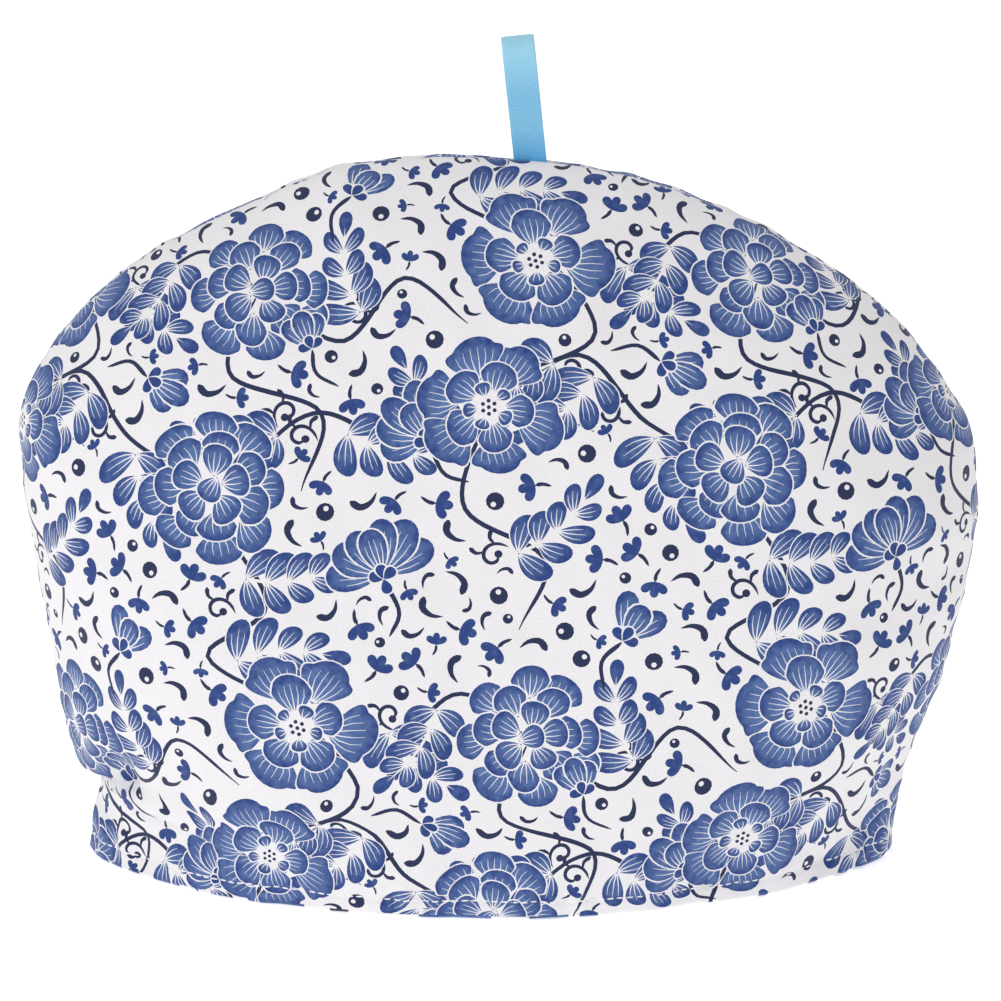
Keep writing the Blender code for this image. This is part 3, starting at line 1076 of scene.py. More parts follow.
def as_complex(points: np.ndarray) -> np.ndarray:
    """Flat places, (..., 2), as complex numbers."""
    return points[..., 0] + 1j * points[..., 1]


def as_points(places: np.ndarray) -> np.ndarray:
    """Complex places as flat ones, (n, 2)."""
    return np.stack((places.real, places.imag), axis=-1)


def doubled_areas(points: np.ndarray, triangles: np.ndarray) -> np.ndarray:
    """Twice the area of each flat triangle, below zero where it runs clockwise."""
    a, b, c = (points[triangles[:, corner]] for corner in range(3))
    return (b[:, 0] - a[:, 0]) * (c[:, 1] - a[:, 1]) - (b[:, 1] - a[:, 1]) * (c[:, 0] - a[:, 0])


def clear_of(places: np.ndarray, outline: np.ndarray, least: float) -> np.ndarray:
    """The complex places inside an outline that are further than the least from its corners.

    Args:
        places: complex places.
        outline: complex corners of a closed outline.
        least: distance that is too near.

    Returns:
        Those that are kept.
    """
    inside = places[wound(places, outline)]
    nearest = np.array([np.abs(outline - place).min() for place in inside])
    return inside[nearest > least]


def linked(name: str, data: bpy.types.ID) -> bpy.types.Object:
    """A new object in the scene.

    Args:
        name: the object's name.
        data: its mesh, light or camera.

    Returns:
        The object.
    """
    thing = bpy.data.objects.new(name, data)
    bpy.context.scene.collection.objects.link(thing)
    return thing


def triangulate(points: np.ndarray, edges: list[tuple[int, int]]) -> tuple[np.ndarray, np.ndarray]:
    """Triangles over flat points that keep the given edges whole.

    Args:
        points: (n, 2) flat places.
        edges: pairs of rows of points.

    Returns:
        (m, 2) places, with the crossings of the edges added, and (k, 3) anticlockwise triangles.
    """
    corners = [Vector(point) for point in points.tolist()]
    found = delaunay_2d_cdt(corners, edges, [], 0, SAME_POINT, False)
    places = np.array([tuple(place) for place in found[0]])
    triangles = np.array(found[2])
    turned = doubled_areas(places, triangles) < 0
    triangles[turned] = triangles[turned][:, ::-1]
    return places, triangles


def edge_loops(triangles: np.ndarray) -> list[list[int]]:
    """Closed walks along the edges that only one triangle has.

    Args:
        triangles: (n, 3) rows of points.

    Returns:
        Rows of points in order, one list a walk.
    """
    sides = {tuple(side) for pair in ((0, 1), (1, 2), (2, 0)) for side in triangles[:, pair].tolist()}
    following = defaultdict(list)
    for a, b in sorted(sides):
        if (b, a) not in sides:
            following[a].append(b)
    loops = []
    while following:
        walk = [next(iter(following))]
        while walk[-1] in following:
            onward = following[walk[-1]].pop()
            if not following[walk[-1]]:
                del following[walk[-1]]
            if onward in walk:
                loops.append(walk[walk.index(onward):])
                del walk[walk.index(onward) + 1:]
            else:
                walk.append(onward)
    return loops


def wound(places: np.ndarray, outline: np.ndarray) -> np.ndarray:
    """Whether an outline goes round each place.

    Args:
        places: (n,) complex places.
        outline: (m,) complex corners of a closed outline.

    Returns:
        (n,) booleans.
    """
    turns = np.zeros(len(places), int)
    for start, end in zip(outline, np.roll(outline, -1)):
        left = ((end.real - start.real) * (places.imag - start.imag)
                - (end.imag - start.imag) * (places.real - start.real)) > 0
        turns += (start.imag <= places.imag) & (end.imag > places.imag) & left
        turns -= (start.imag > places.imag) & (end.imag <= places.imag) & ~left
    return turns != 0


@dataclass
class PrintedCut:
    """A flat cut triangulated along every edge of its print."""

    cut: FlatCut
    drawing: Drawing
    edge_spacing: float = 1.6
    grid_spacing: float = 3.0
    edge_slack: float = 0.01
    rim_depth: float = 0.4
    rim_width: float = 0.55
    fill_clearance: float = 0.6
    edge_rows: tuple[float, ...] = (0.7, 1.5, 2.4, 3.4, 4.4, 5.0, 5.6, 6.2, 7.2, 8.6, 10.4)

    def __post_init__(self) -> None:
        """Cut the print's shapes into the cloth and give each triangle its ink."""
        edge = self.cut.edge(self.edge_spacing)
        low, high = edge.min(axis=0), edge.max(axis=0)
        outline = as_complex(edge)
        shapes = [shape for shape in self.drawing.shapes
                  if shape.outline.real.max() > low[0] and shape.outline.real.min() < high[0]
                  and shape.outline.imag.max() > low[1] and shape.outline.imag.min() < high[1]]
        loops = [outline] + [shape.outline for shape in shapes]
        edges, start = [], 0
        for loop in loops:
            rows = range(start, start + len(loop))
            edges += list(zip(rows, list(rows[1:]) + [start]))
            start += len(loop)
        flat = np.concatenate(loops)
        middles = self._cut(flat, edges, outline)
        flat, edges = self._shown(self._owner(shapes, middles))
        flat = np.concatenate((flat, self._fill(outline, low, high)))
        middles = self._cut(flat, edges, outline)
        loops = sorted(edge_loops(self.triangles), key=len)
        self.loop = np.array(loops[-1])
        fans = [(loop[0], loop[row + 1], loop[row])
                for loop in loops[:-1] for row in range(1, len(loop) - 1)]
        if fans:
            self.triangles = np.concatenate((self.triangles, fans))
            middles = np.concatenate((middles, as_complex(self.points)[np.array(fans)].mean(axis=1)))
        self.ink, self.tone = self._inked(shapes, self._owner(shapes, middles))

    def _cut(self, flat: np.ndarray, edges: list[tuple[int, int]], outline: np.ndarray) -> np.ndarray:
        """Triangulate the cut along the edges, and return its triangles' middles.

        Args:
            flat: complex places.
            edges: pairs of rows of them.
            outline: the cut's complex corners.

        Returns:
            The middles, as complex places.
        """
        points, triangles = triangulate(as_points(flat), edges)
        middles = as_complex(points[triangles].mean(axis=1))
        inside = wound(middles, outline - self.edge_slack * self._inward(outline))
        used, triangles = np.unique(triangles[inside], return_inverse=True)
        self.triangles = triangles.reshape(-1, 3)
        self.points = points[used]
        return middles[inside]

    @staticmethod
    def _inward(outline: np.ndarray) -> np.ndarray:
        """Unit steps from the outline's corners into the cut."""
        along = np.roll(outline, -1) - np.roll(outline, 1)
        return 1j * along / np.abs(along)

    def _shown(self, owner: np.ndarray) -> tuple[np.ndarray, list[tuple[int, int]]]:
        """Edges that part two shapes, or the cut from what is outside it, with their points.

        Args:
            owner: the shape that each triangle belongs to.

        Returns:
            Complex places, and pairs of rows of them.
        """
        beside = {}
        for number, (a, b, c) in zip(owner.tolist(), self.triangles.tolist()):
            beside[a, b] = beside[b, c] = beside[c, a] = number
        kept = [pair for pair, number in beside.items() if beside.get(pair[::-1]) != number]
        kept = np.array([(a, b) for a, b in kept if a < b or (b, a) not in beside])
        used, rows = np.unique(kept, return_inverse=True)
        return as_complex(self.points[used]), [tuple(pair) for pair in rows.reshape(-1, 2).tolist()]

    def _fill(self, outline: np.ndarray, low: np.ndarray, high: np.ndarray) -> np.ndarray:
        """Points between the shapes: an even grid, and rows that follow the cut's edge.

        Args:
            outline: the cut's complex corners.
            low: its least x and y.
            high: its largest x and y.

        Returns:
            Complex places.
        """
        rise = self.grid_spacing * math.sqrt(3) / 2
        rows = np.arange(low[1], high[1], rise)
        x, y = np.meshgrid(np.arange(low[0], high[0], self.grid_spacing), rows)
        x = x + (np.arange(len(rows)) % 2)[:, None] * self.grid_spacing / 2
        grid = (x + 1j * y).ravel()
        bands = [outline + self._inward(outline) * row for row in self.edge_rows]
        return clear_of(np.concatenate([grid] + bands), outline, self.fill_clearance)

    @staticmethod
    def _owner(shapes: list[Shape], middles: np.ndarray) -> np.ndarray:
        """Row of the last shape printed on each triangle, or -1; bare cotton is all one.

        Args:
            shapes: in the order of printing.
            middles: of the triangles.

        Returns:
            A row of shapes for each triangle.
        """
        order = np.argsort(middles.real)
        across = middles.real[order]
        owner = np.full(len(middles), -1)
        for number, shape in enumerate(shapes):
            first, last = np.searchsorted(across, (shape.outline.real.min(), shape.outline.real.max()))
            near = order[first:last]
            near = near[(middles.imag[near] > shape.outline.imag.min())
                        & (middles.imag[near] < shape.outline.imag.max())]
            inside = near[wound(middles[near], shape.outline)]
            owner[inside] = -1 if shape.ink is Ink.COTTON else number
        return owner

    def _inked(self, shapes: list[Shape], owner: np.ndarray) -> tuple[np.ndarray, np.ndarray]:
        """Ink of each triangle and tone of each of its corners.

        Args:
            shapes: in the order of printing.
            owner: each triangle's row of them.

        Returns:
            (n,) inks and (n, 3) tones, from 0 to 1.
        """
        ink = np.zeros(len(owner))
        tone = np.zeros((len(owner), 3))
        places = as_complex(self.points)
        for number, shape in enumerate(shapes):
            rows = np.nonzero(owner == number)[0]
            if len(rows) == 0:
                continue
            corners = places[self.triangles[rows]]
            run = shape.tip - shape.base
            along = np.clip(((corners - shape.base) * run.conjugate()).real / abs(run) ** 2, 0, 1)
            ink[rows] = shape.ink.value / Ink.NAVY.value
            away = np.abs(corners[..., None] - shape.outline).min(axis=-1)
            rim = self.rim_depth * np.exp(-away / self.rim_width)
            tone[rows] = shape.pale + (shape.deep - shape.pale) * along + rim
        return ink, np.clip(tone, 0, 1)


@dataclass
class Panel:
    """One padded panel: the printed face, the plain inside and the edge round both."""

    name: str
    node: str
    surface: PanelSurface
    drawing: Drawing
    hem_roll: float = 1.2 * MM
    roll_reach: float = 6.0 * MM
    rim_rows: int = 4
    rim_flat_step: float = 0.8
    hem_slack: float = 1.05
    lining_spacing: float = 6.0
    lining_clearance: float = 2.0
    bake_span: float = 334.0
    bake_margin: float = 4.0
    bake_spread: float = 0.004
    lining_bake_size: float = 0.27
    lining_bake_corner: tuple[float, float] = (0.005, 0.765)

    def build(self, finish: bpy.types.Material) -> bpy.types.Object:
        """Make the panel's mesh.

        Args:
            finish: the printed cotton.

        Returns:
            The panel.
        """
        self.cut = FlatCut(self.surface)
        cloth = PrintedCut(self.cut, self.drawing)
        self.flat_area = float(doubled_areas(cloth.points, cloth.triangles).sum() / 2) * MM * MM
        self.flat_size = np.ptp(self.cut.flat, axis=0)
        loop = cloth.loop
        lining_flat, lining_triangles = self._lining(cloth.points[loop])
        face, face_normal = self._laid(cloth.points, 0.0)
        lining, _ = self._laid(lining_flat, self.surface.form.wall)
        rim, rim_flat = self._rim(face[loop], lining[:len(loop)], cloth.points[loop])
        counts = np.cumsum([0, len(face), len(rim)])
        lining_corners = lining_triangles[:, ::-1] + counts[2]
        places = np.concatenate((face, rim, lining))
        around = np.arange(len(loop))
        rows = [loop] + [counts[1] + row * len(loop) + around for row in range(self.rim_rows - 1)]
        rows.append(counts[2] + around)
        strips = []
        for outer, inner in zip(rows, rows[1:]):
            a, b = outer, np.roll(outer, -1)
            c, d = np.roll(inner, -1), inner
            strips += [np.stack((a, c, b), axis=-1), np.stack((a, d, c), axis=-1)]
        strip = np.concatenate(strips)
        corners = np.concatenate((cloth.triangles, strip, lining_corners))
        if self.surface.side is Side.BACK:
            corners = corners[:, ::-1]
        thing = self._object(places, corners)
        strip_ink, strip_tone = (np.tile(values, 2 * self.rim_rows)
                                 for values in self._edge_print(cloth, loop))
        plain = np.zeros(len(lining_corners))
        ink = np.concatenate((cloth.ink, strip_ink, plain))
        rest_tone = np.repeat(np.concatenate((strip_tone, plain))[:, None], 3, axis=1)
        tone = np.concatenate((cloth.tone, rest_tone))
        if self.surface.side is Side.BACK:
            tone = tone[:, ::-1]
        self._colour(thing, ink, tone)
        self._flat_maps(thing, cloth.points, rim_flat, lining_flat, len(loop))
        self._shade(thing, face_normal, len(face), loop)
        thing.data.materials.append(finish)
        return thing

    def _lining(self, edge: np.ndarray) -> tuple[np.ndarray, np.ndarray]:
        """Coarse triangles for the inside, which start with the edge's own points.

        Args:
            edge: (n, 2) flat places round it.

        Returns:
            (m, 2) flat places and (k, 3) triangles.
        """
        low, high = edge.min(axis=0), edge.max(axis=0)
        x, y = np.meshgrid(np.arange(low[0], high[0], self.lining_spacing),
                           np.arange(low[1], high[1], self.lining_spacing))
        outline = as_complex(edge)
        grid = clear_of((x + 1j * y).ravel(), outline, self.lining_clearance)
        points = np.concatenate((edge, as_points(grid)))
        count = len(edge)
        edges = [(row, (row + 1) % count) for row in range(count)]
        corners = [Vector(point) for point in points.tolist()]
        found = delaunay_2d_cdt(corners, edges, [], 0, LINING_POINT, True)
        origin = np.array([source[0] for source in found[3]])
        triangles = origin[np.array(found[2])]
        turned = doubled_areas(points, triangles) < 0
        triangles[turned] = triangles[turned][:, ::-1]
        keep = wound(as_complex(points[triangles].mean(axis=1)), outline)
        return points, triangles[keep]

    def _laid(self, flat: np.ndarray, depth: float) -> tuple[np.ndarray, np.ndarray]:
        """Places and outward normals of flat points on the stuffed shape, or below its face.

        Args:
            flat: (n, 2) flat places.
            depth: how far below the face.

        Returns:
            (n, 3) places and (n, 3) normals of the face.
        """
        shares = self.cut.find(flat)
        places = self.surface.worked(shares[:, 0], shares[:, 1])
        normals = self.surface.normal(shares[:, 0], shares[:, 1])
        near_hem = np.clip(1 - places[:, 2] / self.roll_reach, 0, 1)
        inward = normals * np.stack((np.ones(len(flat)), np.ones(len(flat)), 1 - near_hem), axis=-1)
        places = places - depth * inward / np.linalg.norm(inward, axis=1)[:, None]
        places[:, 2] += self.hem_roll * near_hem ** 2
        side = self.surface.side.value
        places[:, 1] = side * np.maximum(side * places[:, 1], self.surface.form.seam_gap / 2)
        return places, normals

    def _rim(self, outer: np.ndarray, inner: np.ndarray, flat: np.ndarray) -> tuple[np.ndarray, np.ndarray]:
        """Rows of points round the edge between the face and the inside, rolled under at the hem.

        Args:
            outer: (n, 3) places round the face.
            inner: (n, 3) places round the inside.
            flat: (n, 2) flat places round the face.

        Returns:
            The rows' places, and where they lie flat, row after row.
        """
        middle = (outer + inner) / 2
        on_hem = (outer[:, 2] < self.hem_roll * self.hem_slack).astype(float)[:, None]
        rows, flat_rows = [], []
        centre = flat.mean(axis=0)
        away = (flat - centre) / np.linalg.norm(flat - centre, axis=1)[:, None]
        for row in range(1, self.rim_rows):
            angle = math.pi * row / self.rim_rows
            straight = outer + (inner - outer) * row / self.rim_rows
            round_form = middle + (outer - inner) / 2 * math.cos(angle)
            round_form[:, 2] -= self.hem_roll * math.sin(angle)
            rows.append(straight * (1 - on_hem) + round_form * on_hem)
            flat_rows.append(flat + away * row * self.rim_flat_step)
        return np.concatenate(rows), np.concatenate(flat_rows)

    def _object(self, places: np.ndarray, corners: np.ndarray) -> bpy.types.Object:
        """A mesh object from places and triangles.

        Args:
            places: (n, 3) places.
            corners: (m, 3) rows of them.

        Returns:
            The object.
        """
        mesh = bpy.data.meshes.new(self.name)
        mesh.from_pydata(places.tolist(), [], corners.tolist())
        mesh.update()
        return linked(self.name, mesh)

    @staticmethod
    def _edge_print(cloth: PrintedCut, loop: np.ndarray) -> tuple[np.ndarray, np.ndarray]:
        """Ink and tone beside each run of the cut's edge.

        Args:
            cloth: the printed cut.
            loop: rows of its points round its edge.

        Returns:
            (n,) inks and (n,) tones.
        """
        beside = {}
        for row, (a, b, c) in enumerate(cloth.triangles.tolist()):
            beside[a, b] = beside[b, c] = beside[c, a] = row
        rows = np.array([beside[a, b] for a, b in zip(loop.tolist(), np.roll(loop, -1).tolist())])
        return cloth.ink[rows], cloth.tone[rows].mean(axis=1)

    @staticmethod
    def _colour(thing: bpy.types.Object, ink: np.ndarray, tone: np.ndarray) -> None:
        """Keep the ink and the tone with each corner.

        Args:
            thing: the panel.
            ink: (n,) inks of its triangles.
            tone: (n, 3) tones of their corners.
        """
        colours = np.zeros((len(ink), 3, 4))
        colours[..., 0] = ink[:, None]
        colours[..., 1] = tone
        colours[..., 3] = 1.0
        layer = thing.data.color_attributes.new("print", "FLOAT_COLOR", "CORNER")
        layer.data.foreach_set("color", colours.ravel())

    def _flat_maps(self, thing: bpy.types.Object, face: np.ndarray, rim: np.ndarray, lining: np.ndarray,
                   edge_count: int) -> None:
        """Where each point was on the flat cut, and the map that finishes are baked on.

        Args:
            thing: the panel.
            face: (n, 2) flat places of its face.
            rim: (n, 2) flat places of its rim.
            lining: (n, 2) flat places of its inside, its edge first.
            edge_count: number of points round its edge.
        """
        flat = np.concatenate((face, rim, lining))
        layer = thing.data.attributes.new("flat", "FLOAT_VECTOR", "POINT")
        layer.data.foreach_set("vector", np.column_stack((flat * MM, np.zeros(len(flat)))).ravel())
        low = face.min(axis=0) - self.bake_margin
        baked = (flat - low) / self.bake_span
        inside = len(face) + len(rim)
        strip = baked.copy()
        edge = rim[-edge_count:]
        spread = (edge - face.mean(axis=0)) * self.bake_spread
        strip[inside:inside + edge_count] = (edge + spread - low) / self.bake_span
        hidden = baked.copy()
        hidden[inside:] = baked[inside:] * self.lining_bake_size + np.array(self.lining_bake_corner)
        corners = np.zeros(len(thing.data.loops), int)
        thing.data.loops.foreach_get("vertex_index", corners)
        corners = corners.reshape(-1, 3)
        of_lining = corners.min(axis=1) >= inside
        maps = np.where(of_lining[:, None, None], hidden[corners], strip[corners])
        thing.data.uv_layers.new(name="OFBake").data.foreach_set("uv", maps.ravel())

    def _shade(self, thing: bpy.types.Object, normals: np.ndarray, count: int, loop: np.ndarray) -> None:
        """Give the printed face the smooth normals of its shape.

        Args:
            thing: the panel.
            normals: (n, 3) normals of its face.
            count: number of the face's points.
            loop: rows of those round its edge.
        """
        thing.data.shade_smooth()
        found = np.zeros(len(thing.data.vertices) * 3)
        thing.data.vertices.foreach_get("normal", found)
        whole = found.reshape(-1, 3)
        inner = np.ones(count, bool)
        inner[loop] = False
        whole[:count][inner] = normals[inner]
        thing.data.normals_split_custom_set_from_vertices(whole.tolist())


class Wire:
    """A value in a shader tree, with arithmetic that adds nodes to it."""

    def __init__(self, tree: bpy.types.NodeTree, socket: bpy.types.NodeSocket | None = None) -> None:
        """Hold the tree and the socket that gives the value, or none where a tree starts."""
        self.tree = tree
        self.socket = socket

    def node(self, kind: str, settings: dict, inputs: dict, output: int | str = 0) -> "Wire":
        """Add any node.

        Args:
            kind: the node's type.
            settings: its own properties, set first.
            inputs: values or wires by input socket.
            output: the output socket that is used.

        Returns:
            The node's output.
        """
        made = self.tree.nodes.new(kind)
        for name, value in settings.items():
            setattr(made, name, value)
        for name, value in inputs.items():
            if isinstance(value, Wire):
                self.tree.links.new(value.socket, made.inputs[name])
            else:
                made.inputs[name].default_value = value
        return Wire(self.tree, made.outputs[output])

    def math(self, operation: str, first: "Wire | float", second: "Wire | float" = 0.0) -> "Wire":
        """One step of arithmetic."""
        return self.node("ShaderNodeMath", {"operation": operation}, {0: first, 1: second})

    def __add__(self, other: "Wire | float") -> "Wire":
        """Sum."""
        return self.math("ADD", self, other)

    def __radd__(self, other: float) -> "Wire":
        """Sum with a number first."""
        return self.math("ADD", other, self)

    def __sub__(self, other: "Wire | float") -> "Wire":
        """Difference."""
        return self.math("SUBTRACT", self, other)

    def __rsub__(self, other: float) -> "Wire":
        """Difference from a number."""
        return self.math("SUBTRACT", other, self)

    def __mul__(self, other: "Wire | float") -> "Wire":
        """Product."""
        return self.math("MULTIPLY", self, other)

    def __rmul__(self, other: float) -> "Wire":
        """Product with a number first."""
        return self.math("MULTIPLY", other, self)

    def mixed(self, low: "Wire | tuple", high: "Wire | tuple") -> "Wire":
        """Colour between two, by this value."""
        return self.node("ShaderNodeMix", {"data_type": "RGBA"}, {0: self, 6: low, 7: high}, 2)


def colour(red: float, green: float, blue: float) -> tuple[float, float, float, float]:
    """A colour from its levels on a screen, 0 to 255.

    Args:
        red: level of red.
        green: level of green.
        blue: level of blue.

    Returns:
        Linear red, green and blue, and a full alpha.
    """
    shown = (level / 255 for level in (red, green, blue))
    linear = (((level + 0.055) / 1.055) ** 2.4 if level > 0.04045 else level / 12.92 for level in shown)
    return (*linear, 1.0)


def started(name: str) -> tuple[bpy.types.Material, Wire, bpy.types.Node]:
    """A new finish, with the start of its tree and its shader.

    Args:
        name: the finish's name.

    Returns:
        The finish, its wire and its shader.
    """
    finish = bpy.data.materials.new(name)
    finish.use_nodes = True
    tree = finish.node_tree
    return finish, Wire(tree), tree.nodes["Principled BSDF"]


@dataclass(frozen=True)
class Cotton:
    """White cotton with its print: a plain weave, two inks and a soft wash inside each shape."""

    name: str = "printed_cotton"
    white: tuple = colour(235, 233, 235)
    pale_cobalt: tuple = colour(112, 140, 190)
    deep_cobalt: tuple = colour(42, 66, 128)
    navy: tuple = colour(38, 48, 82)
    roughness: float = 0.85
    thread: float = 0.42 * MM
    thread_depth: float = 0.1 * MM
    wash_scale: float = 420.0
    wash_depth: float = 0.9

    def build(self) -> bpy.types.Material:
        """Make the finish.

        Returns:
            The finish.
        """
        finish, start, shader = started(self.name)
        print_value = start.node("ShaderNodeAttribute", {"attribute_name": "print"}, {}, "Color")
        ink = start.node("ShaderNodeSeparateColor", {}, {0: print_value}, 0)
        tone = start.node("ShaderNodeSeparateColor", {}, {0: print_value}, 1)
        flat = start.node("ShaderNodeAttribute", {"attribute_name": "flat"}, {}, "Vector")
        settings = {"Vector": flat, "Scale": self.wash_scale, "Detail": 3.0}
        wash = start.node("ShaderNodeTexNoise", {}, settings, 0)
        shade = tone + self.wash_depth * (wash - 0.5)
        cobalt = shade.mixed(self.pale_cobalt, self.deep_cobalt)
        inked = (ink * 2.0 - 1.0).mixed(cobalt, self.navy)
        printed = start.math("GREATER_THAN", ink, 0.25).mixed(self.white, inked)
        start.tree.links.new(printed.socket, shader.inputs["Base Color"])
        height = self._weave(start, flat)
        settings = {"Strength": 0.25, "Distance": self.thread_depth, "Height": height}
        bump = start.node("ShaderNodeBump", {}, settings)
        start.tree.links.new(bump.socket, shader.inputs["Normal"])
        shader.inputs["Roughness"].default_value = self.roughness
        shader.inputs["Specular IOR Level"].default_value = 0.25
        shader.inputs["Sheen Weight"].default_value = 0.15
        shader.inputs["Sheen Roughness"].default_value = 0.5
        return finish

    def _weave(self, start: Wire, flat: Wire) -> Wire:
        """Height of the threads of a plain weave.

        Args:
            start: where the tree starts.
            flat: places on the flat cut.

        Returns:
            The height.
        """
        place = start.node("ShaderNodeSeparateXYZ", {}, {0: flat}, 0)
        rise = start.node("ShaderNodeSeparateXYZ", {}, {0: flat}, 1)
        turn = math.pi / self.thread
        across = start.math("SINE", place * turn)
        up = start.math("SINE", rise * turn)
        return across * up


@dataclass(frozen=True)
class Grosgrain:
    """Sky blue ribbed ribbon, with painted shade that darkens it near the seam and painted light that pales
    the top of its loop.
    """

    name: str = "blue_grosgrain"
    # middle is the ribbon's own blue; deep is painted shade for its foot by the seam, and pale is painted
    # light for the top of the loop.
    deep: tuple = colour(70, 160, 215)
    middle: tuple = colour(128, 192, 226)
    pale: tuple = colour(168, 222, 238)
    fibre: tuple = colour(96, 170, 214)
    foot: float = 0.213
    top: float = 0.250
    seam_shade_rise: float = 4.0
    painted_light_from: float = 0.55
    painted_light_rise: float = 2.2
    fibre_scale: float = 1500.0
    fibre_share: float = 0.35
    roughness: float = 0.5

    def build(self) -> bpy.types.Material:
        """Make the finish.

        Returns:
            The finish.
        """
        finish, start, shader = started(self.name)
        place = start.node("ShaderNodeTexCoord", {}, {}, "Object")
        height = start.node("ShaderNodeSeparateXYZ", {}, {0: place}, 2)
        share = (height - self.foot) * (1 / (self.top - self.foot))
        # Painted shade darkens the ribbon towards its foot at the seam, and painted light pales it towards
        # the top of the loop.
        lower = (share * self.seam_shade_rise).mixed(self.deep, self.middle)
        whole = ((share - self.painted_light_from) * self.painted_light_rise).mixed(lower, self.pale)
        settings = {"Vector": place, "Scale": self.fibre_scale, "Detail": 2.0}
        fibre = start.node("ShaderNodeTexNoise", {}, settings, 0)
        varied = (fibre * self.fibre_share).mixed(whole, self.fibre)
        start.tree.links.new(varied.socket, shader.inputs["Base Color"])
        shader.inputs["Roughness"].default_value = self.roughness
        shader.inputs["Sheen Weight"].default_value = 0.2
        return finish


@dataclass(frozen=True)
class Plain:
    """A finish of one colour."""

    name: str
    tint: tuple
    roughness: float

    def build(self) -> bpy.types.Material:
        """Make the finish.

        Returns:
            The finish.
        """
        finish, _, shader = started(self.name)
        shader.inputs["Base Color"].default_value = self.tint
        shader.inputs["Roughness"].default_value = self.roughness
        return finish


def plain_mesh(thing: bpy.types.Object) -> None:
    """Turn what a piece's modifiers make into its own mesh.

    Args:
        thing: the piece, with its modifiers.
    """
    shown = thing.evaluated_get(bpy.context.evaluated_depsgraph_get())
    made = bpy.data.meshes.new_from_object(shown)
    thing.modifiers.clear()
    thing.data = made


@dataclass
class Repeater:
    """A node tree that lays one rounded bar at each point of a mesh, turned along two directions."""

    name: str
    length: float
    width: float
    height: float
    finish: bpy.types.Material

    def apply(self, thing: bpy.types.Object) -> None:
        """Lay the bars on the object's points and keep the result as its mesh.

        Args:
            thing: the object, a mesh of loose points.
        """
        tree = bpy.data.node_groups.new(self.name, "GeometryNodeTree")
        tree.interface.new_socket("Geometry", in_out="INPUT", socket_type="NodeSocketGeometry")
        measures = {"Length": self.length, "Width": self.width, "Height": self.height}
        sizes = {label: tree.interface.new_socket(label, in_out="INPUT", socket_type="NodeSocketFloat")
                 for label in measures}
        tree.interface.new_socket("Geometry", in_out="OUTPUT", socket_type="NodeSocketGeometry")
        source, result = tree.nodes.new("NodeGroupInput"), tree.nodes.new("NodeGroupOutput")
        start = Wire(tree)
        points = Wire(tree, source.outputs["Geometry"])
        given = {row: Wire(tree, source.outputs[label]) for row, label in enumerate(measures)}
        bar = start.node("GeometryNodeMeshUVSphere", {}, {"Segments": 8, "Rings": 6, "Radius": 0.5})
        size = start.node("ShaderNodeCombineXYZ", {}, given)
        sized = start.node("GeometryNodeTransform", {}, {"Geometry": bar, "Scale": size})
        along, out = (start.node("GeometryNodeInputNamedAttribute", {"data_type": "FLOAT_VECTOR"},
                                 {"Name": label}) for label in ("along", "out"))
        turned = start.node("FunctionNodeAxesToRotation", {"primary_axis": "Z", "secondary_axis": "X"},
                            {"Primary Axis": out, "Secondary Axis": along})
        laid = start.node("GeometryNodeInstanceOnPoints", {},
                          {"Points": points, "Instance": sized, "Rotation": turned})
        real = start.node("GeometryNodeRealizeInstances", {}, {"Geometry": laid})
        painted = start.node("GeometryNodeSetMaterial", {}, {"Geometry": real, "Material": self.finish})
        tree.links.new(painted.socket, result.inputs["Geometry"])
        modifier = thing.modifiers.new(self.name, "NODES")
        modifier.node_group = tree
        for label, value in measures.items():
            modifier[sizes[label].identifier] = value
        plain_mesh(thing)


def guide(name: str, places: np.ndarray, along: np.ndarray, out: np.ndarray) -> bpy.types.Object:
    """Loose points that carry the two directions of what is laid on them.

    Args:
        name: the piece's name.
        places: (n, 3) places.
        along: (n, 3) directions of each bar's length.
        out: (n, 3) directions of each bar's height.

    Returns:
        The object.
    """
    mesh = bpy.data.meshes.new(name)
    mesh.from_pydata(places.tolist(), [], [])
    for label, values in (("along", along), ("out", out)):
        layer = mesh.attributes.new(label, "FLOAT_VECTOR", "POINT")
        layer.data.foreach_set("vector", np.ascontiguousarray(values, float).ravel())
    return linked(name, mesh)


@dataclass
class HemStitches:
    """The row of topstitching along one panel's hem."""

    name: str
    panel: Panel
    pitch: float = 2.9 * MM
    length: float = 2.3 * MM
    width: float = 0.55 * MM
    height: float = 0.4 * MM
    margin: float = 4.0 * MM
    lift: float = 0.15
    samples: int = 1200
    rounds: int = 12
    first_share: float = 0.02
    last_share: float = 0.2
    climb: float = 4.0

    def build(self, finish: bpy.types.Material) -> bpy.types.Object:
        """Lay the stitches in the hem's trough.

        Args:
            finish: the thread.

        Returns:
            The row of stitches.
        """
        surface = self.panel.surface
        level = surface.hem_stitch_height
        across = np.linspace(0, 1, self.samples)
        up = np.full_like(across, self.first_share)
        for _ in range(self.rounds):
            reached = surface.worked(across, up)[:, 2]
            up = np.clip(up + (level - reached) * self.climb, 0.0, self.last_share)
        line = surface.worked(across, up)
        length = np.concatenate(([0.0], np.cumsum(np.linalg.norm(np.diff(line, axis=0), axis=1))))
        count = int((length[-1] - 2 * self.margin) / self.pitch)
        stops = self.margin + self.pitch * (0.5 + np.arange(count))
        shares = np.interp(stops, length, across)
        heights = np.interp(stops, length, up)
        places = surface.worked(shares, heights)
        normals = surface.normal(shares, heights)
        along = np.gradient(places, axis=0)
        thing = guide(self.name, places + normals * self.height * self.lift, along, normals)
        Repeater(self.name, self.length, self.width, self.height, finish).apply(thing)
        return thing


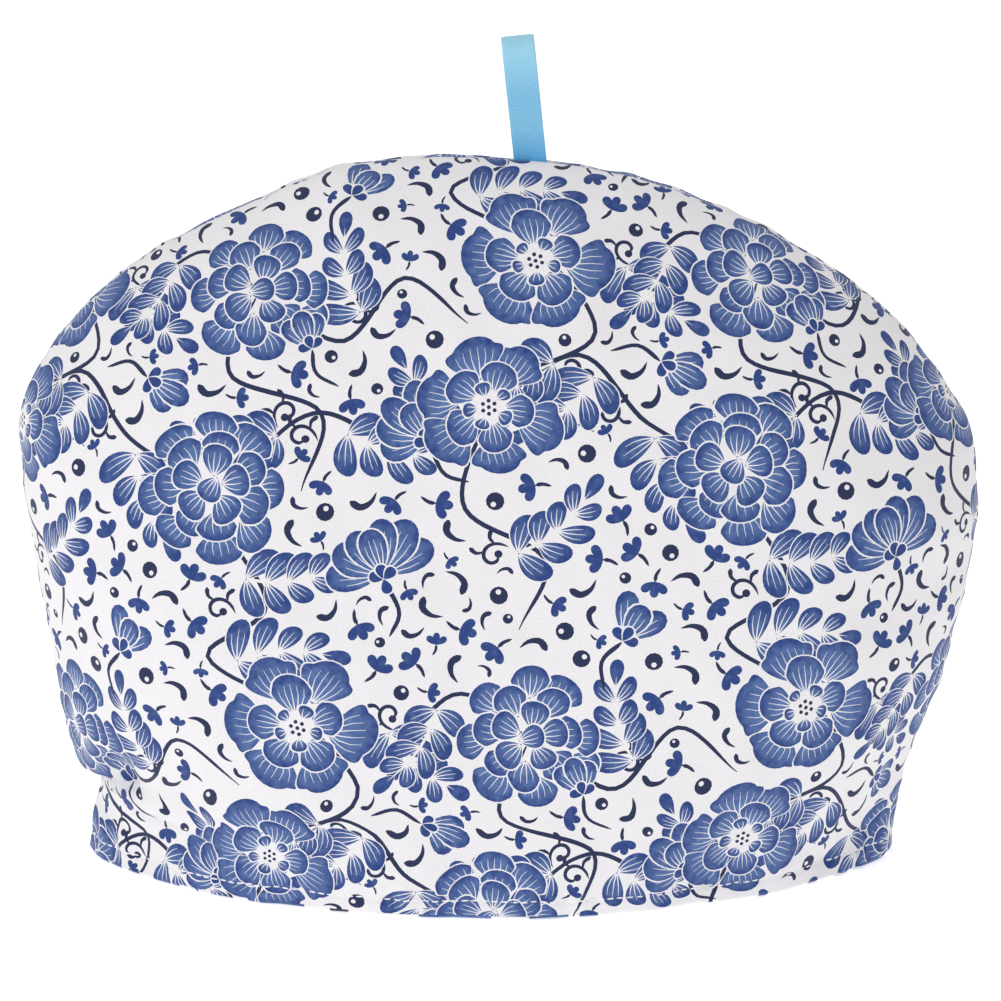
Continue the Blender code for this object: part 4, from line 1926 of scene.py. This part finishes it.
@dataclass
class Ribbon:
    """The hanging loop: a folded strip of ribbed ribbon with plain selvedges."""

    form: CosyForm
    width: float = 9.5 * MM
    thickness: float = 1.0 * MM
    x: float = 8.9 * MM
    lean: float = math.radians(6.0)
    height: float = 36.0 * MM
    tuck: float = 4.5 * MM
    half_gap: float = 4.2 * MM
    base_gap: float = 0.2 * MM
    closed_share: float = 0.18
    steps: int = 40
    rib_pitch: float = 0.72 * MM
    rib_height: float = 0.16 * MM
    selvedge: float = 0.8 * MM
    selvedge_columns: tuple[float, ...] = (0.0, 0.4, 1.0, 1.3)
    ribbed: tuple[float, ...] = (0.0, 0.0, 0.0, 1.0, 1.0, 1.0, 0.0, 0.0, 0.0)
    fullness: tuple[float, ...] = (0.45, 0.85, 0.85, 1.0, 1.0, 1.0, 0.85, 0.85, 0.45)
    side_rows: int = 200

    def path(self) -> np.ndarray:
        """The middle line from the front end over the top to the back end, (steps, y and up).

        Returns:
            (n, 2) places, across the seam and above it.
        """
        top = self.height - self.half_gap - self.thickness
        middle = self.half_gap + self.thickness / 2
        base = self.base_gap + self.thickness / 2
        shares = np.linspace(0.0, 1.0, self.steps + 1)
        swell = np.clip((shares - self.closed_share) / (1 - self.closed_share), 0.0, 1.0)
        spread = base + (middle - base) * swell ** 2 * (3 - 2 * swell)
        rise = -self.tuck + shares * (top + self.tuck)
        turn = np.linspace(0.0, math.pi, self.steps // 2 + 1)[1:-1]
        front = np.column_stack((-spread, rise))
        arc = np.column_stack((-middle * np.cos(turn), top + middle * np.sin(turn)))
        return np.vstack((front, arc, front[::-1] * (-1.0, 1.0)))

    def placed(self, across: np.ndarray, path: np.ndarray) -> np.ndarray:
        """Places in space from places across the ribbon and on its path.

        Args:
            across: places across the ribbon.
            path: (..., 2) places on its path.

        Returns:
            (..., 3) places, in metres.
        """
        line = self.form.outline()[self.side_rows:-self.side_rows]
        seam_height = np.interp(self.x, line[:, 0], line[:, 1])
        turn_x, turn_up = math.cos(self.lean), math.sin(self.lean)
        return np.stack((self.x + across * turn_x - path[..., 1] * turn_up, path[..., 0],
                         seam_height + path[..., 1] * turn_x + across * turn_up), axis=-1)

    def build(self, finish: bpy.types.Material) -> bpy.types.Object:
        """Make the strip with its ribs.

        Args:
            finish: the ribbon's own.

        Returns:
            The ribbon.
        """
        path = self.path()
        length = np.concatenate(([0.0], np.cumsum(np.linalg.norm(np.diff(path, axis=0), axis=1))))
        self.flat_length = float(length[-1])
        fine = np.linspace(0.0, length[-1], 4 * round(length[-1] / self.rib_pitch) + 1)
        line = np.stack([np.interp(fine, length, smooth) for smooth in path.T], axis=-1)
        along = np.gradient(line, axis=0)
        out = np.stack((-along[:, 1], along[:, 0]), axis=-1) / np.linalg.norm(along, axis=1)[:, None]
        edge = self.width / 2
        inset = self.selvedge * np.array(self.selvedge_columns)
        columns = np.concatenate((inset - edge, (0.0,), edge - inset[::-1]))
        ribs = self.rib_height * np.array(self.ribbed)
        wave = 0.5 + 0.5 * np.cos(2 * math.pi * fine / self.rib_pitch)
        half = self.thickness / 2 * np.array(self.fullness) - ribs * wave[:, None]
        front = self.placed(columns[None, :], line[:, None, :] + out[:, None, :] * half[..., None])
        back = self.placed(columns[None, :], line[:, None, :] - out[:, None, :] * half[..., None])
        rows, count = front.shape[:2]
        places = np.concatenate((front.reshape(-1, 3), back.reshape(-1, 3)))
        top = np.arange(rows * count).reshape(rows, count)
        low = top + rows * count
        ring = np.concatenate((top, low[:, ::-1]), axis=1)
        following = np.roll(ring, -1, axis=1)
        quads = np.stack((ring[:-1], following[:-1], following[1:], ring[1:]), axis=-1).reshape(-1, 4)
        mesh = bpy.data.meshes.new("ribbon")
        ends = []
        for row, turned in ((0, True), (rows - 1, False)):
            for column in range(count - 1):
                face = [top[row, column], top[row, column + 1], low[row, column + 1], low[row, column]]
                ends.append(face[::-1] if turned else face)
        mesh.from_pydata(places.tolist(), [], quads.tolist() + [[int(v) for v in face] for face in ends])
        bm = bmesh.new()
        bm.from_mesh(mesh)
        bmesh.ops.recalc_face_normals(bm, faces=bm.faces)
        bm.to_mesh(mesh)
        bm.free()
        thing = linked("ribbon", mesh)
        thing.data.shade_smooth()
        thing.data.materials.append(finish)
        return thing


class Lamp(NamedTuple):
    """A soft box, in metres and watts."""

    name: str
    place: tuple[float, float, float]
    size: float
    power: float


@dataclass
class Studio:
    """White floor and soft light, as for a catalogue picture."""

    floor_span: float = 6.0
    elevation: float = math.radians(16.0)
    distance: float = 1.1
    look_x: float = 0.3 * MM
    look_height: float = 109.78 * MM
    focal_pixels: float = 3679.0
    picture: float = 1001.0
    sensor: float = 36.0
    world_light: float = 0.52
    floor_glow: float = 0.5
    lamps: tuple[Lamp, ...] = (
        Lamp("key", (-1.1, -1.0, 1.5), 0.8, 13.0),
        Lamp("fill", (1.3, -1.0, 0.9), 1.4, 2.5),
        Lamp("back", (0.7, 1.5, 1.2), 1.4, 5.0),
    )

    def build(self) -> None:
        """Make the floor, the lights and the camera."""
        self._floor()
        self._world()
        for lamp in self.lamps:
            self._lamp(lamp)
        self._camera()
        bpy.context.scene.view_settings.view_transform = "Standard"

    def _floor(self) -> None:
        """A white surface under the cosy."""
        mesh = bpy.data.meshes.new("floor")
        bm = bmesh.new()
        bmesh.ops.create_grid(bm, x_segments=1, y_segments=1, size=self.floor_span / 2)
        bm.to_mesh(mesh)
        bm.free()
        floor = linked("floor", mesh)
        finish = Plain("white_floor", colour(250, 250, 250), 0.9).build()
        shader = finish.node_tree.nodes["Principled BSDF"]
        shader.inputs["Emission Color"].default_value = colour(255, 255, 255)
        shader.inputs["Emission Strength"].default_value = self.floor_glow
        floor.data.materials.append(finish)

    def _world(self) -> None:
        """Even white light from all round."""
        world = bpy.data.worlds.new("studio")
        world.use_nodes = True
        ground = world.node_tree.nodes["Background"]
        ground.inputs["Color"].default_value = (1.0, 1.0, 1.0, 1.0)
        ground.inputs["Strength"].default_value = self.world_light
        bpy.context.scene.world = world

    def _lamp(self, lamp: Lamp) -> None:
        """Point a soft box at the cosy.

        Args:
            lamp: its place, size and power.
        """
        light = bpy.data.lights.new(lamp.name, "AREA")
        light.size = lamp.size
        light.energy = lamp.power
        thing = linked(lamp.name, light)
        thing.location = lamp.place
        aim = Vector((0.0, 0.0, self.look_height)) - thing.location
        thing.rotation_euler = aim.to_track_quat("-Z", "Y").to_euler()

    def _camera(self) -> None:
        """The picture's own viewpoint."""
        camera = bpy.data.cameras.new("camera")
        camera.sensor_width = self.sensor
        camera.lens = self.focal_pixels / self.picture * self.sensor
        thing = linked("camera", camera)
        thing.location = (self.look_x, -self.distance * math.cos(self.elevation),
                          self.look_height + self.distance * math.sin(self.elevation))
        thing.rotation_euler = (math.pi / 2 - self.elevation, 0.0, 0.0)
        bpy.context.scene.camera = thing


def main() -> None:
    """Build the cosy in its own order, piece by piece."""
    logging.basicConfig(level=logging.INFO, format="%(name)s: %(message)s")
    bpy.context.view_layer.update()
    form = CosyForm()
    cotton = Cotton().build()
    thread = Plain("white_thread", colour(244, 243, 246), 0.7).build()
    repeat = Repeat()
    for side, folds, creases, node in ((Side.FRONT, FRONT_FOLDS, FRONT_CREASES, "front_panel"),
                                       (Side.BACK, BACK_FOLDS, BACK_CREASES, "back_panel")):
        name = side.name.lower()
        surface = PanelSurface(side, form, folds, creases)
        panel = Panel(f"{name}_cloth", node, surface, repeat.repeated(side))
        piece = panel.build(cotton)
        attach(piece, BODY)
        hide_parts(node)
        stitches = HemStitches(f"{name}_hem_stitches", panel).build(thread)
        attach(stitches, BODY)
        LOG.info("%s: %d faces", stitches.name, len(stitches.data.polygons))
    ribbon = Ribbon(form)
    loop = ribbon.build(Grosgrain().build())
    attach(loop, BODY)
    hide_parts("ribbon_loop")
    LOG.info("%s: %d faces, %.0f mm long before it was folded", loop.name, len(loop.data.polygons),
             ribbon.flat_length / MM)
    studio = Studio()
    studio.build()
    LOG.info("studio: floor, camera and %d lamps", len(studio.lamps))


if __name__ == "__main__":
    main()
